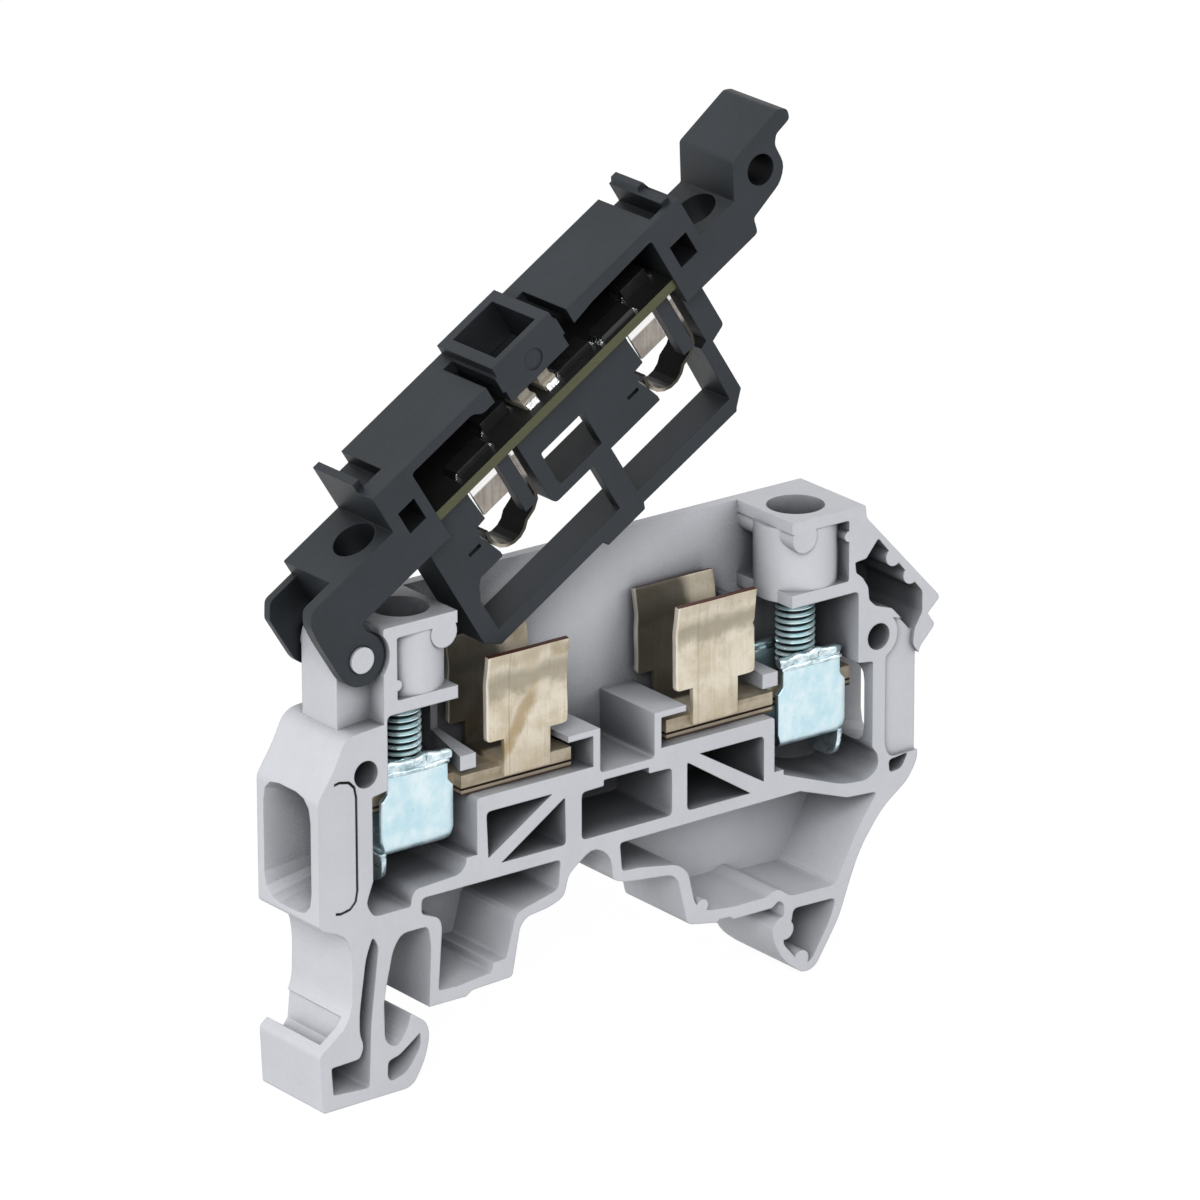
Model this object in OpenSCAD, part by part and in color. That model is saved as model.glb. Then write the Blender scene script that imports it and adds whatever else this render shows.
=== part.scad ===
// Fuse terminal block for a 35 mm rail: a moulded housing, open on one side, with two
// screw clamps, two fork contacts and a swing-up lever that carries the fuse and its lamp board.
// X runs along the block from the middle of the rail, Y from the open side to the closed back,
// Z up from the top face of the rail. Outlines are lists of [x, z, corner setback].

/* [Housing] */
// Thickness of the block across the row
body_t = 7.3; // [7.2:0.1:8.4]
// Thickness of the closed back wall
back_t = 0.85; // [0.6:0.05:1]
// Width between the feet, the rail and its play
rail_w = 35.2; // [34.8:0.1:36]
// Middle of the contact deck from the middle of the rail
deck_x = 3.5; // [3:0.1:4]
// Distance of each clamp screw from the middle of the deck
screw_m = 17.4; // [17:0.1:18]
// Height of the ledge under the busbars
deck_z = 14.6; // [14.3:0.1:15]
// Underside of the shelf over the clamp chambers
shelf_z = 22.45; // [22.2:0.05:22.9]
// Thickness of the shelf that the screw heads stand on
shelf_t = 0.95; // [0.8:0.05:1.1]
// Top of the towers
tower_z = 28.9; // [28.5:0.1:29.1]
// Wall of the screwdriver guides in the towers
guide_t = 0.95; // [0.8:0.05:1]

/* [Clamp] */
// Diameter of the screw shank
screw_d = 2.9; // [2.6:0.1:3]
// Diameter of the screw head
head_d = 3.5; // [3.3:0.1:3.6]
// Height of the screw head
head_h = 2; // [1.6:0.1:2.4]
// Length of the clamp cage along the wire
cage_l = 6.1; // [5.6:0.1:6.4]
// Thickness of the cage strip
cage_t = 0.5; // [0.4:0.05:0.6]
// How far the cage rises when its screw is driven home
cage_rise = 2.4; // [1.8:0.1:2.4]

/* [Contacts] */
// Thickness of the busbar
bar_t = 1.5; // [1.2:0.1:1.6]
// Width of the busbar under the fork
bar_w = 4.15; // [4:0.05:4.2]
// Width of the busbar through the cage
tail_w = 2.3; // [2:0.1:2.5]
// Thickness of the fork leaves
leaf_t = 0.4; // [0.3:0.05:0.45]
// Width of the fork leaves
leaf_w = 7; // [6:0.1:7.2]
// Middle of the fork from the middle of the deck
fork_m = 8.3; // [8:0.1:8.4]
// Top of the fork leaves
leaf_z = 24.6; // [24:0.1:24.8]

/* [Lever] */
// Angle at which the lever stands open
lever_angle = 32; // [0:1:90]
// Diameter of the moulded hinge pin
pin_d = 1.9; // [1.6:0.1:2]
// Depth of the lever across the row
lever_t = 6.5; // [6.4:0.1:6.6]
// Thickness of the lever's front cheek and front wall
cheek_t = 1; // [0.9:0.05:1.1]
// Depth of the bar that the fuse lies on
cradle_t = 3.05; // [2.8:0.05:3.2]
// Height of the lever's top face over its pivot
roof_v = 9.1; // [8.8:0.1:9.4]
// Diameter of the test probe holes through the lever
probe_d = 3.2; // [3:0.1:3.4]

/* [Lamp board] */
// Thickness of the board
board_t = 0.75; // [0.6:0.05:0.8]
// Thickness of the contact springs
spring_t = 0.25; // [0.2:0.05:0.3]
// Width of the contact springs
spring_w = 2.6; // [2.2:0.1:2.8]

/* [Hidden] */
$fn = 48;

grey = "#b9babd";
dark = "#3f4449";
zinc = "#b9d3dc";
tarnish = "#9b8a6b";
fit = 0.05; // radial clearance of a running fit
eps = 0.01;

clamp_y = 3.1; // middle of the clamps and forks across the row
inner_y = body_t - back_t; // inner face of the back wall
screw_l = deck_x - screw_m;
screw_r = deck_x + screw_m;
guide_r = head_d / 2 + 0.35;
shelf_top = shelf_z + shelf_t;
roof_z = tower_z - 0.9; // underside of the tower tops
tower_m = screw_m - 2.7; // inner ends of the towers
chamber_m = screw_m + 4.7; // outer wall of the clamp chambers
bar_top = deck_z + bar_t;
cage_w = screw_d + 2 * (cage_t + fit); // the cage's sides stand clear of the screw
tower_end = left(-3.6); // face of the left tower beside the lever's cheeks
head_z = shelf_top + 0.1; // underside of the screw heads

function spot(p) = [p[0], p[1]];
function corner(a, q, b, r) =
    let (
        s = min(r, norm(a - q) * 0.49, norm(b - q) * 0.49),
        p0 = q + (a - q) * s / norm(a - q),
        p1 = q + (b - q) * s / norm(b - q)
    )
    [for (k = [0, 1 / 3, 2 / 3, 1]) p0 * (1 - k) * (1 - k) + q * 2 * k * (1 - k) + p1 * k * k];
// Points of an outline with each corner rounded by its own setback, where it has one
function soft(p) = [
    for (i = [0:len(p) - 1])
        each len(p[i]) < 3 ? [spot(p[i])]
            : corner(spot(p[(i + len(p) - 1) % len(p)]), spot(p[i]), spot(p[(i + 1) % len(p)]), p[i][2])
];
function foot(d) = -rail_w / 2 + d; // from the left edge of the rail slot
function jaw(d) = rail_w / 2 + d; // from the right edge of the rail slot
function left(d) = screw_l + d; // from the left screw
function right(d) = screw_r + d; // from the right screw
function deck(d) = deck_x + d; // from the middle of the deck

// Extrudes an outline drawn in X and Z from depth y0 back to y1
module deep(y0, y1) {
    translate([0, y1, 0]) rotate([90, 0, 0]) linear_extrude(y1 - y0) children();
}
// Extrudes an outline drawn in Y and Z from x0 to x1
module along(x0, x1) {
    translate([x0, 0, 0]) rotate([90, 0, 90]) linear_extrude(x1 - x0) children();
}
// Draws a flat shape on both sides of the middle of the deck
module both_sides() {
    for (side = [0, 1]) translate([deck_x, 0]) mirror([side, 0]) children();
}
module shape(p) {
    polygon(soft(p));
}
module rounded_box(x0, z0, x1, z1, r) {
    shape([[x0, z0, r], [x1, z0, r], [x1, z1, r], [x0, z1, r]]);
}

left_end = left(-9.3);
right_end = right(8.85);

// Outer contour of the moulding, clockwise from the left foot
module contour() {
    shape([
        [foot(-5.5), -5.75, 0.2], [foot(-5.7), -1.4, 0.3], [foot(-3.5), 0.2, 0.8], [foot(-2.9), 1.5, 0.8],
        [foot(-2.8), 5, 1], [foot(-3.2), 7, 1], [left(-8.9), 7.8, 0.2], [left_end, 8.1, 0.2],
        [left_end, 17.4, 0.3], [left(-7.9), 19.5, 0.8], [left(-7.1), 21.2, 0.8], [left(-6.3), 21.7, 0.4],
        [tower_end, 21.9], [tower_end, tower_z, 0.2],
        [right(3.9), tower_z, 0.2], [right(4), tower_z - 1, 0.3], [right(10.7), 20.6, 0.2],
        [right(10.7), 20.3, 0.1], [right(9.7), 19.4, 0.1], [right(10.3), 18.5, 0.1],
        [right(10.2), 18.2, 0.1], [right(9), 17, 0.3], [right_end, 16.4, 0.3], [right_end, 8.4, 0.5],
        [right(8), 7, 0.6], [right(5.6), 5.3, 1], [right(3.7), 2.8, 1], [jaw(6.2), 1, 0.8],
        [jaw(5), -2.2, 0.8], [jaw(3), -5.3, 0.5], [jaw(2.4), -5.65, 0.3], [jaw(1.6), -5.65, 0.5],
        [jaw(-0.1), -4.3, 1], [jaw(-0.9), -2.8, 0.6], [jaw(-1.1), -1.6, 0.4], [jaw(-0.5), -1, 0.2],
        [jaw(0), -0.9, 0.1], [jaw(0), 0, 0.3], [jaw(-0.5), 0.45, 0.3], [jaw(-1.1), 0, 0.1],
        [jaw(-4.6), 0], [jaw(-4.9), 0.25], [jaw(-5.9), 0.3], [jaw(-6.1), 0.1],
        [jaw(-8.75), 0.6, 0.4], [jaw(-9.6), 4.2, 0.6], [jaw(-10.2), 4.75, 0.6], [deck(-0.1), 5.2, 0.6],
        [deck(-1.3), 5.6, 0.4], [deck(-1.45), 7.5, 0.8], [deck(-3), 8.6, 1.2], [deck(-5.25), 7, 0.6],
        [deck(-5.6), 5.4, 0.6], [deck(-7), 4.95, 0.3], [foot(12.2), 4.7, 0.4], [foot(11.6), 4.1, 0.4],
        [foot(10.9), 0.5, 0.3], [foot(7.4), 0.35, 0.2], [foot(6.9), 0, 0.1], [foot(3.7), 0],
        [foot(3.9), 4.5, 0.3], [foot(3.7), 6.1, 0.5], [foot(1.3), 6.1, 0.6], [foot(0.6), 5, 0.5],
        [foot(0), 2.4], [foot(-0.2), 1.2, 0.2], [foot(-0.15), -1.7, 0.6], [foot(0.9), -2.4, 0.6],
        [foot(1.8), -1.2, 0.6], [foot(2.1), -0.1, 0.2], [foot(3.4), -1, 0.5], [foot(3.7), -2, 0.6],
        [foot(3.3), -3.8, 0.8], [foot(2.4), -5.3, 0.6], [foot(1.8), -5.65, 0.4]
    ]);
}

// Open middle of the block and the clamp chambers, drawn for one side of the deck
module open_half() {
    shape([
        [-eps, tower_z + 1], [tower_m, tower_z + 1], [tower_m, roof_z], [screw_m + 2.45, roof_z, 0.2],
        [screw_m + 2.45, shelf_top, 0.2], [tower_m, shelf_top], [tower_m, shelf_z],
        [screw_m + 3.35, shelf_z, 0.4], [screw_m + 3.35, 17], [chamber_m, 16.8, 0.1],
        [chamber_m, 10.4], [screw_m - 4.25, 10.4], [screw_m - 4.25, deck_z, 0.3],
        [3, deck_z], [3, deck_z + 2.3], [5.2, deck_z + 2.3], [5.2, deck_z + 2.75],
        [2.4, deck_z + 2.75], [2.4, deck_z - 0.6, 0.3], [-eps, deck_z - 0.6]
    ]);
}

module left_pockets() {
    // clamp chamber floor
    shape([[left(-4.7), 10.6], [left(-5.3), 9, 0.4], [left(-4.7), 7.9, 0.5], [left(-1.5), 7.9, 0.2],
        [left(-1.4), 8.7, 0.3], [left(-1), 9.1, 0.3], [left(2.7), 9.3, 0.4], [left(3.3), 9.9, 0.4],
        [left(3.3), 10.6]]);
    // window over the rail
    shape([[foot(3.1), 8.3, 0.4], [foot(3.1), 7.1, 0.3], [foot(4.6), 6.5, 0.5], [foot(4.85), 5.8, 0.4],
        [foot(4.5), 1, 0.3], [foot(6.2), 0.95, 0.2], [foot(9.1), 1.25, 0.2], [foot(9.3), 1.95, 0.1],
        [foot(10.4), 2, 0.2], [foot(11.3), 5.2, 0.6], [deck(-6.1), 6.1, 0.4], [deck(-5.9), 8.3, 0.4]]);
    // slot in the springing leg
    shape([[foot(-1.1), 6.5, 0.4], [foot(-1.7), 5, 0.6], [foot(-2.3), 1, 1], [foot(-2.3), -0.6, 0.4],
        [foot(-1.95), -1.5, 0.4], [foot(-2.3), -2.4, 0.3], [foot(-4.75), -2.5, 0.2],
        [foot(-4.6), -4.6, 0.2], [foot(-1.5), -4.8, 0.3], [foot(-1.3), 0, 1], [foot(-0.6), 5.6, 0.4]]);
    // kidney behind the hook
    shape([[foot(0.1), -3.2, 0.3], [foot(1.1), -2.95, 0.3], [foot(2.2), -2.2, 0.4],
        [foot(2.9), -1.7, 0.2], [foot(2.9), -2.8, 0.4], [foot(1.8), -4.4, 0.6],
        [foot(0.4), -4.8, 0.4], [foot(0.05), -4.4, 0.3]]);
}

module right_pockets() {
    // clamp chamber floor
    shape([[right(-4.25), 10.7], [right(-3.45), 10.7, 0.1], [right(-3.4), 10, 0.1], [right(2), 8, 0.8],
        [right(4.3), 7.8, 0.6], [right(5.3), 8.6, 0.6], [right(5.2), 9.6, 0.4],
        [right(4.7), 10.2, 0.2], [right(4.6), 10.8]]);
    // long window over the rail
    shape([[deck(-0.7), 8.3, 0.3], [deck(-0.5), 6.1, 0.3], [jaw(-13), 6, 0.3], [jaw(-9.6), 5.4, 0.6],
        [jaw(-8.7), 4.6, 0.5], [jaw(-8.1), 2, 0.5], [jaw(-6.9), 1.2, 0.5], [jaw(-4.6), 0.95, 0.3],
        [jaw(-1.6), 0.95, 0.3], [jaw(-0.6), 1.4, 0.5], [jaw(0.6), 0.5, 0.4], [jaw(4.7), 0.4, 0.5],
        [right(3.3), 4, 1], [right(5.2), 6.7, 0.4], [right(2.4), 6.9, 0.2], [right(-1.9), 8.4]]);
    // window in the fixed foot
    shape([[jaw(0.8), -0.5, 0.5], [jaw(4.8), -0.6, 0.6], [jaw(4.2), -2.2, 0.5], [jaw(2.5), -5, 0.4],
        [jaw(1.5), -4.9, 0.4], [jaw(-0.2), -2.9, 0.5], [jaw(0.7), -1.4, 0.3]]);
    // small pocket beside the wire entry
    shape([[right(6.2), 8.9, 0.3], [right(6.3), 7.9, 0.3], [right(7.4), 8, 0.4], [right(8), 9.1, 0.3]]);
    // marker slot with its round teeth
    difference() {
        shape([[right(3), 24.7, 0.1], [right(4), 24.8, 0.1], [right(5.1), 26.1, 0.2],
            [right(9.2), 21.2, 0.2], [right(9.2), 19.6, 0.2], [right(8.4), 18.3, 0.2],
            [right(6.4), 20.5, 0.2], [right(4.9), 21, 0.2], [right(4.3), 21.6, 0.2],
            [right(4.2), 22.6, 0.2], [right(3.7), 23.4, 0.2], [right(3.1), 23.9, 0.1]]);
        for (k = [0, 1]) translate([right(6.55 + 1.6 * k), 24.4 - 1.7 * k]) circle(r = 0.72);
    }
}

// Lattice of the beam between the feet and the ledge
module beam_pockets() {
    shape([[deck(-4.05), 9.3, 0.4], [deck(3.95), 9.3, 0.4], [deck(3.95), 12.9, 0.4],
        [deck(1.9), 12.95, 0.1], [deck(1.9), 13.4, 0.1], [deck(-2.1), 13.4, 0.1],
        [deck(-2.1), 12.95, 0.1], [deck(-4.05), 12.9, 0.4]]);
    shape([[deck(-12.35), 13.4, 0.4], [deck(-6.6), 13.4, 0.1], [deck(-12.2), 9.9, 0.1]]);
    shape([[deck(-5.5), 12.9, 0.2], [deck(-5.45), 9.3, 0.3], [deck(-11.1), 9.3, 0.1]]);
    shape([[deck(6.4), 13.4, 0.1], [deck(12.2), 13.4, 0.4], [deck(12.2), 9.9, 0.1]]);
    shape([[deck(5.3), 13, 0.2], [deck(5.3), 9.3, 0.4], [deck(11), 9.3, 0.1]]);
}

pin_x = left(-5.27);
pin_z = tower_z - 1.95;
lever_y = 0.3; // front plane of the lever
cheek_gap = 0.4; // side play between the lever's cheeks and the hinge post
post_y0 = lever_y + cheek_t + cheek_gap;
rear_y = lever_y + lever_t - 0.65; // front face of the rear cheek
post_y1 = rear_y - 0.3;
eye_r = 1.95;

// Post that carries the lever, with two fins and the pin
module hinge_post() {
    deep(post_y0, post_y1) shape([[pin_x - 1.1, 21.4], [pin_x - 1.1, pin_z - 1, 0.3],
        [pin_x - 1.1, pin_z + 1.3, 1], [pin_x + 0.4, pin_z + 1.7, 0.6], [left(-3.5), pin_z + 1.3],
        [left(-3.5), 21.4]]);
    translate([pin_x, 0.1, pin_z]) rotate([-90, 0, 0]) cylinder(d = pin_d, h = body_t - 0.3);
}

// Funnel that leads the wire from the end of the block into the clamp chamber
funnel_w = 4.24; // width of the wire entry where it meets the clamp chamber
module funnel(end_x, wall_x) {
    s = sign(wall_x - end_x) * 0.1;
    y0 = clamp_y - funnel_w / 2;
    hull() {
        along(min(end_x - s, end_x), max(end_x - s, end_x))
            rounded_box(0.9, 8.6, inner_y + 0.1, 17.5, 1.8);
        along(min(wall_x, wall_x + s), max(wall_x, wall_x + s))
            rounded_box(y0, 10.3, y0 + funnel_w, 16.2, 1.2);
    }
}
dowel_r = 1;
dowel_boss_r = dowel_r + 0.75;
dowel_m = screw_m + 5.2;
dowel_z = 18.6;
dowel_depth = 5.5;

module housing() {
    color(grey) difference() {
        union() {
            deep(0, inner_y) difference() {
                union() {
                    contour();
                    both_sides() translate([dowel_m, dowel_z]) circle(r = dowel_boss_r);
                }
                both_sides() open_half();
                left_pockets();
                right_pockets();
                beam_pockets();
            }
            deep(inner_y, body_t) contour();
            hinge_post();
            for (side = [0, 1]) side_of(side) hold_down();
            // bosses of the mould parting under the tower tops
            deep(0, inner_y) both_sides() translate([screw_m - 1.55, roof_z - 0.5]) circle(r = 1.1);
            // screwdriver guides
            for (x = [screw_l, screw_r]) translate([x, clamp_y, shelf_z + eps])
                cylinder(r = guide_r + guide_t, h = roof_z - shelf_z);
            // small ribs in the tower windows
            deep(0, inner_y + eps) {
                translate([left(-2.45), shelf_top + 1.1]) circle(r = 0.4, $fn = 24);
                translate([right(2.45), roof_z - 1.2]) circle(r = 0.4, $fn = 24);
            }
            // bosses in the fixed foot and in the long window
            deep(0, inner_y + eps) {
                translate([jaw(0.1), -2]) circle(r = 0.75);
                translate([jaw(1.6), -4.6]) circle(r = 0.65);
                translate([jaw(-7.4), 1.7]) circle(r = 0.5);
            }
        }
        funnel(left_end, deck_x - chamber_m);
        funnel(right_end, deck_x + chamber_m);
        for (x = [screw_l, screw_r]) translate([x, clamp_y, 0]) {
            translate([0, 0, shelf_z - 1]) cylinder(r = screw_d / 2 + fit + 0.03, h = 4);
            translate([0, 0, shelf_top]) cylinder(r = head_d / 2 + 0.1, h = tower_z);
            translate([0, 0, head_z + head_h + 0.1]) cylinder(r = guide_r, h = tower_z);
        }
        deep(-1, dowel_depth) both_sides() translate([dowel_m, dowel_z]) circle(r = dowel_r);
        // room for the lever's eyes beside the left tower
        translate([pin_x, -1, pin_z]) rotate([-90, 0, 0]) difference() {
            cylinder(r = eye_r + 0.25, h = post_y0 + 1);
            cylinder(d = pin_d, h = post_y0 + 1);
        }
        translate([pin_x, post_y1, pin_z]) rotate([-90, 0, 0]) difference() {
            cylinder(r = eye_r + 0.25, h = body_t);
            cylinder(d = pin_d, h = body_t - 0.2 - post_y1);
        }
        // pry slot across the top of the springing foot
        deep(0.9, body_t + 1) shape([[foot(-5.2), 1], [foot(-5.1), -0.9], [foot(-3.7), -1.9],
            [foot(-3.3), -1.4], [foot(-3.1), 0.6], [foot(-3.6), 1]]);
        // recess over the right wire funnel
        deep(-1, 0.4) difference() {
            shape([[right(5.85), 10, 0.5], [right(5.85), 16.9, 0.3], [right(6.4), 17.4],
                [right(6.4), 19.8], [right(7.5), 19.5], [right(8.55), 18.7],
                [right(8.35), 17.3, 0.3], [right(8.95), 16.5], [right(9.5), 16.4], [right(9.5), 9.1],
                [right(6.3), 9.1, 0.5]]);
            translate([deck_x + dowel_m, dowel_z]) circle(r = dowel_boss_r);
        }
        // line round the funnel's flange
        deep(-1, 0.6) difference() {
            rounded_box(left(-9), 8.7, left(-5.95), 18.6, 1.9);
            rounded_box(left(-8.8), 8.9, left(-6.15), 18.4, 1.8);
            translate([left(-9.5), 0]) square([1.6, 30]);
        }
    }
}

// Wall between fork and clamp that holds the busbar down, drawn for the right side
module hold_down() {
    m0 = screw_m - 4.75;
    m1 = screw_m - cage_l / 2 - 0.2;
    intersection() {
        deep(0.77, inner_y + eps) shape([[m0, bar_top + 0.5], [m1, bar_top + 0.5],
            [m1, shelf_z + eps], [m0, shelf_z + eps]]);
        along(m0 - 1, m1 + 1) polygon([[0, 0], [0, bar_top + 1.5], [inner_y - 1.15, bar_top + 2.1],
            [inner_y - 1.15, shelf_z + 1], [body_t, shelf_z + 1], [body_t, 0]]);
        linear_extrude(tower_z) polygon([[m0, 0], [m1, 0], [m0 + 0.6, inner_y - 1.15],
            [m0 + 0.6, body_t], [m0, body_t]]);
    }
}

// Busbar and fork, drawn for the right side
module side_of(s) {
    translate([deck_x, 0, 0]) mirror([s, 0, 0]) children();
}
bar_y0 = clamp_y - bar_w / 2;
bar_y1 = clamp_y + bar_w / 2;
bar_in = 4.2;
bar_out = chamber_m - 0.6;
module busbar() {
    color(tarnish) translate([0, 0, deck_z]) difference() {
        busbar_body();
        // groove between the two layers of the bar
        translate([0, bar_y0 - 1, 0.42]) cube([screw_m, 1.2, 0.1]);
    }
}
module busbar_body() {
    union() {
        translate([bar_in, bar_y0, 0]) cube([screw_m - cage_l / 2 - 0.6 - bar_in, bar_w, bar_t]);
        translate([bar_in + 1, clamp_y - tail_w / 2, 0]) cube([bar_out - bar_in - 1, tail_w, bar_t]);
    }
}
// One springing leaf, its flared top leaning out from the fuse
module leaf_profile() {
    y = bar_y0;
    polygon([[y, deck_z + 0.8], [y, leaf_z - 3], [y + 0.03, leaf_z - 2], [y - 0.3, leaf_z],
        [y - 0.3 - leaf_t, leaf_z - 0.05], [y + 0.03 - leaf_t, leaf_z - 2], [y - leaf_t, leaf_z - 3],
        [y - leaf_t, deck_z + 0.8]]);
}
module fork() {
    shoulder_z = bar_top + 2.1;
    stem_w = leaf_w - 3;
    color(tarnish) {
        for (k = [0, 1]) translate([0, k * 2 * clamp_y, 0]) mirror([0, k, 0]) intersection() {
            along(fork_m - leaf_w, fork_m + leaf_w) leaf_profile();
            deep(-1, body_t) shape([
                [fork_m - leaf_w / 2, leaf_z + 1], [fork_m + leaf_w / 2, leaf_z + 1],
                [fork_m + leaf_w / 2, shoulder_z, 0.3], [fork_m + stem_w / 2, shoulder_z],
                [fork_m + stem_w / 2, deck_z], [fork_m - stem_w / 2, deck_z],
                [fork_m - stem_w / 2, shoulder_z], [fork_m - leaf_w / 2, shoulder_z, 0.3]]);
        }
        translate([fork_m - stem_w / 2, bar_y0 - leaf_t, bar_top])
            cube([stem_w, bar_w + 2 * leaf_t, leaf_t]);
    }
}

// Clamp cage: a strip folded into a box round the wire, threaded for the screw on top
cage_z0 = deck_z - cage_rise - cage_t - 0.3; // the raised cage stays under the busbar
cage_z1 = deck_z + 3.9;
module cage() {
    x0 = screw_m - cage_l / 2;
    x1 = screw_m + cage_l / 2;
    y0 = clamp_y - cage_w / 2;
    color(zinc) difference() {
        union() {
            for (y = [y0, y0 + cage_w - cage_t]) deep(y, y + cage_t) shape([
                [x0, cage_z0], [x0, cage_z1 - 2.2, 0.2], [x0 + 0.5, cage_z1 - 1.7, 0.2],
                [x0 + 0.4, cage_z1 - 0.9, 0.1], [x0 + 0.1, cage_z1, 0.3],
                [x1 - 0.1, cage_z1, 0.3], [x1 - 0.4, cage_z1 - 0.9, 0.1],
                [x1 - 0.5, cage_z1 - 1.7, 0.2], [x1, cage_z1 - 2.2, 0.2], [x1, cage_z0]]);
            translate([x0, y0, cage_z0]) cube([cage_l, cage_w, cage_t]);
            translate([x0 + 0.4, y0, cage_z1 - 0.9]) cube([cage_l - 0.8, cage_w, 0.9]);
            // lip that guides the wire in
            translate([x1 - cage_t, y0 + 0.3, cage_z0 - 2]) cube([cage_t, cage_w - 0.6, 2.1]);
        }
        translate([screw_m, clamp_y, cage_z1 - 2]) cylinder(r = screw_d / 2 + fit, h = 3);
    }
}

module screw() {
    tip_z = bar_top + 0.2;
    color(zinc) translate([screw_m, clamp_y, 0]) difference() {
        union() {
            translate([0, 0, tip_z]) cylinder(d = screw_d, h = head_z - tip_z + 0.1);
            translate([0, 0, head_z]) cylinder(d = head_d, h = head_h);
        }
        translate([-head_d, -0.3, head_z + head_h - 0.9]) cube([2 * head_d, 0.6, 1]);
    }
}

// Lever frame: u along the lever from the pivot, v up from it, t back from its front plane
module at_lever() {
    translate([pin_x, lever_y, pin_z]) rotate([0, -lever_angle, 0]) children();
}
module lever_box(u0, u1, v0, v1, t0, t1) {
    translate([u0, t0, v0]) cube([u1 - u0, t1 - t0, v1 - v0]);
}
lever_mid = deck_x - pin_x; // middle of the deck under the shut lever
spring_l = lever_mid - fork_m + 0.6; // middles of the springs, over the forks
spring_r = lever_mid + fork_m + 0.15;
function mid(d) = lever_mid + d; // from the middle of the shut lever
function near(d) = spring_l + d; // from the left spring
function far(d) = spring_r + d; // from the right spring
function hand(d) = lever_mid + screw_m + d; // from the right screw under the shut lever
arm_v = 2.15; // underside of the lever's arms
arm_top = 5.85;
box_u0 = near(-7.97);
box_u1 = far(6.88);
win_u0 = near(-4.57);
win_u1 = far(3.48);
wall_t = 0.95;
frame_t = cheek_t; // the fuse frame stands back from the lever's front plane
board_v = 3.55;
board_top = board_v + board_t;
board_u0 = near(-5.77);
board_u1 = far(4.28);
board_t0 = 0.25;
board_t1 = 5.6;
board_fit = 0.05;
frame_back = frame_t + 3.4;
cradle_v0 = -8.39;
cradle_v1 = -7.29;
rail_v = board_v - 1.25;
rib_top = board_v - spring_t - 0.1;
pillars = [near(1.53), far(1.63)];
pillar_w = 1.1;

module cheeks() {
    edge_u = tower_end - pin_x - 0.2; // the shut cheeks stop short of the tower
    for (rear = [0, 1]) {
        t0 = rear == 0 ? 0 : lever_t - 0.65;
        t1 = rear == 0 ? cheek_t : lever_t;
        top = rear == 0 ? arm_top : arm_top - 1.2;
        deep(t0, t1) difference() {
            union() {
                circle(r = eye_r);
                shape([[-eye_r, 0], [-eye_r, 3.5, 0.5], [-1.8, top - 0.9, 0.4], [-1.2, top, 0.3],
                    [2, top], [2, arm_v], [edge_u, arm_v], [edge_u, 1.2], [eye_r, 0]]);
            }
            circle(r = pin_d / 2 + fit);
        }
    }
}

module lever_head() {
    // left arm and its probe hole
    deep(0, lever_t) shape([[1.5, arm_v], [1.5, arm_top, 0.1], [box_u0 + eps, arm_top],
        [box_u0 + eps, roof_v], [box_u0 + 3, roof_v], [box_u0 + 3, arm_v]]);
    // right shelf and grip
    deep(0, lever_t - 0.4) shape([[far(4.88), arm_v], [hand(1.83), arm_v, 0.3], [hand(2.13), 3.3, 0.2],
        [hand(5.23), 3.9, 0.5], [hand(6.23), 4.8, 0.6], [hand(6.33), 6.6, 0.3], [hand(6.83), 7.15, 0.2],
        [hand(8.33), 7.3, 0.3], [hand(8.53), 8.1, 0.3], [hand(7.83), 8.6, 0.2], [hand(2.93), 8.1, 0.2],
        [hand(1.43), 5.5, 0.1], [far(5.88), 5.5]]);
    // box over the board
    difference() {
        lever_box(box_u0, box_u1, arm_v, roof_v, 0, lever_t);
        lever_box(win_u0, win_u1, arm_v - 1, roof_v - wall_t, wall_t, lever_t - 0.8);
        lever_box(win_u0, win_u1, arm_v - 1, board_v, -1, lever_t + 1);
        deep(-1, wall_t + eps) shape([[win_u0, board_v - 1], [win_u0, 8.3, 0.3], [near(1.53), 8.3, 0.3],
            [near(2.23), 7.7, 0.3], [mid(3.33), 7.7, 0.3], [far(-2.62), 8, 0.3], [win_u1, 8.15, 0.3],
            [win_u1, board_v - 1]]);
    }
}

// Right edge of the front wall beside a spring, from the board down
function lip(at) = [[at - 1.47, board_v + 0.2], [at - 1.47, 2.6], [at - 1.32, 0.4, 0.1],
    [at - 2.37, 0.3, 0.1], [at - 2.37, -0.6, 0.1], [at - 1.97, -1.6, 0.1], [at - 1.67, -2.6],
    [at - 1.67, -2.99, 0.1]];

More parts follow.
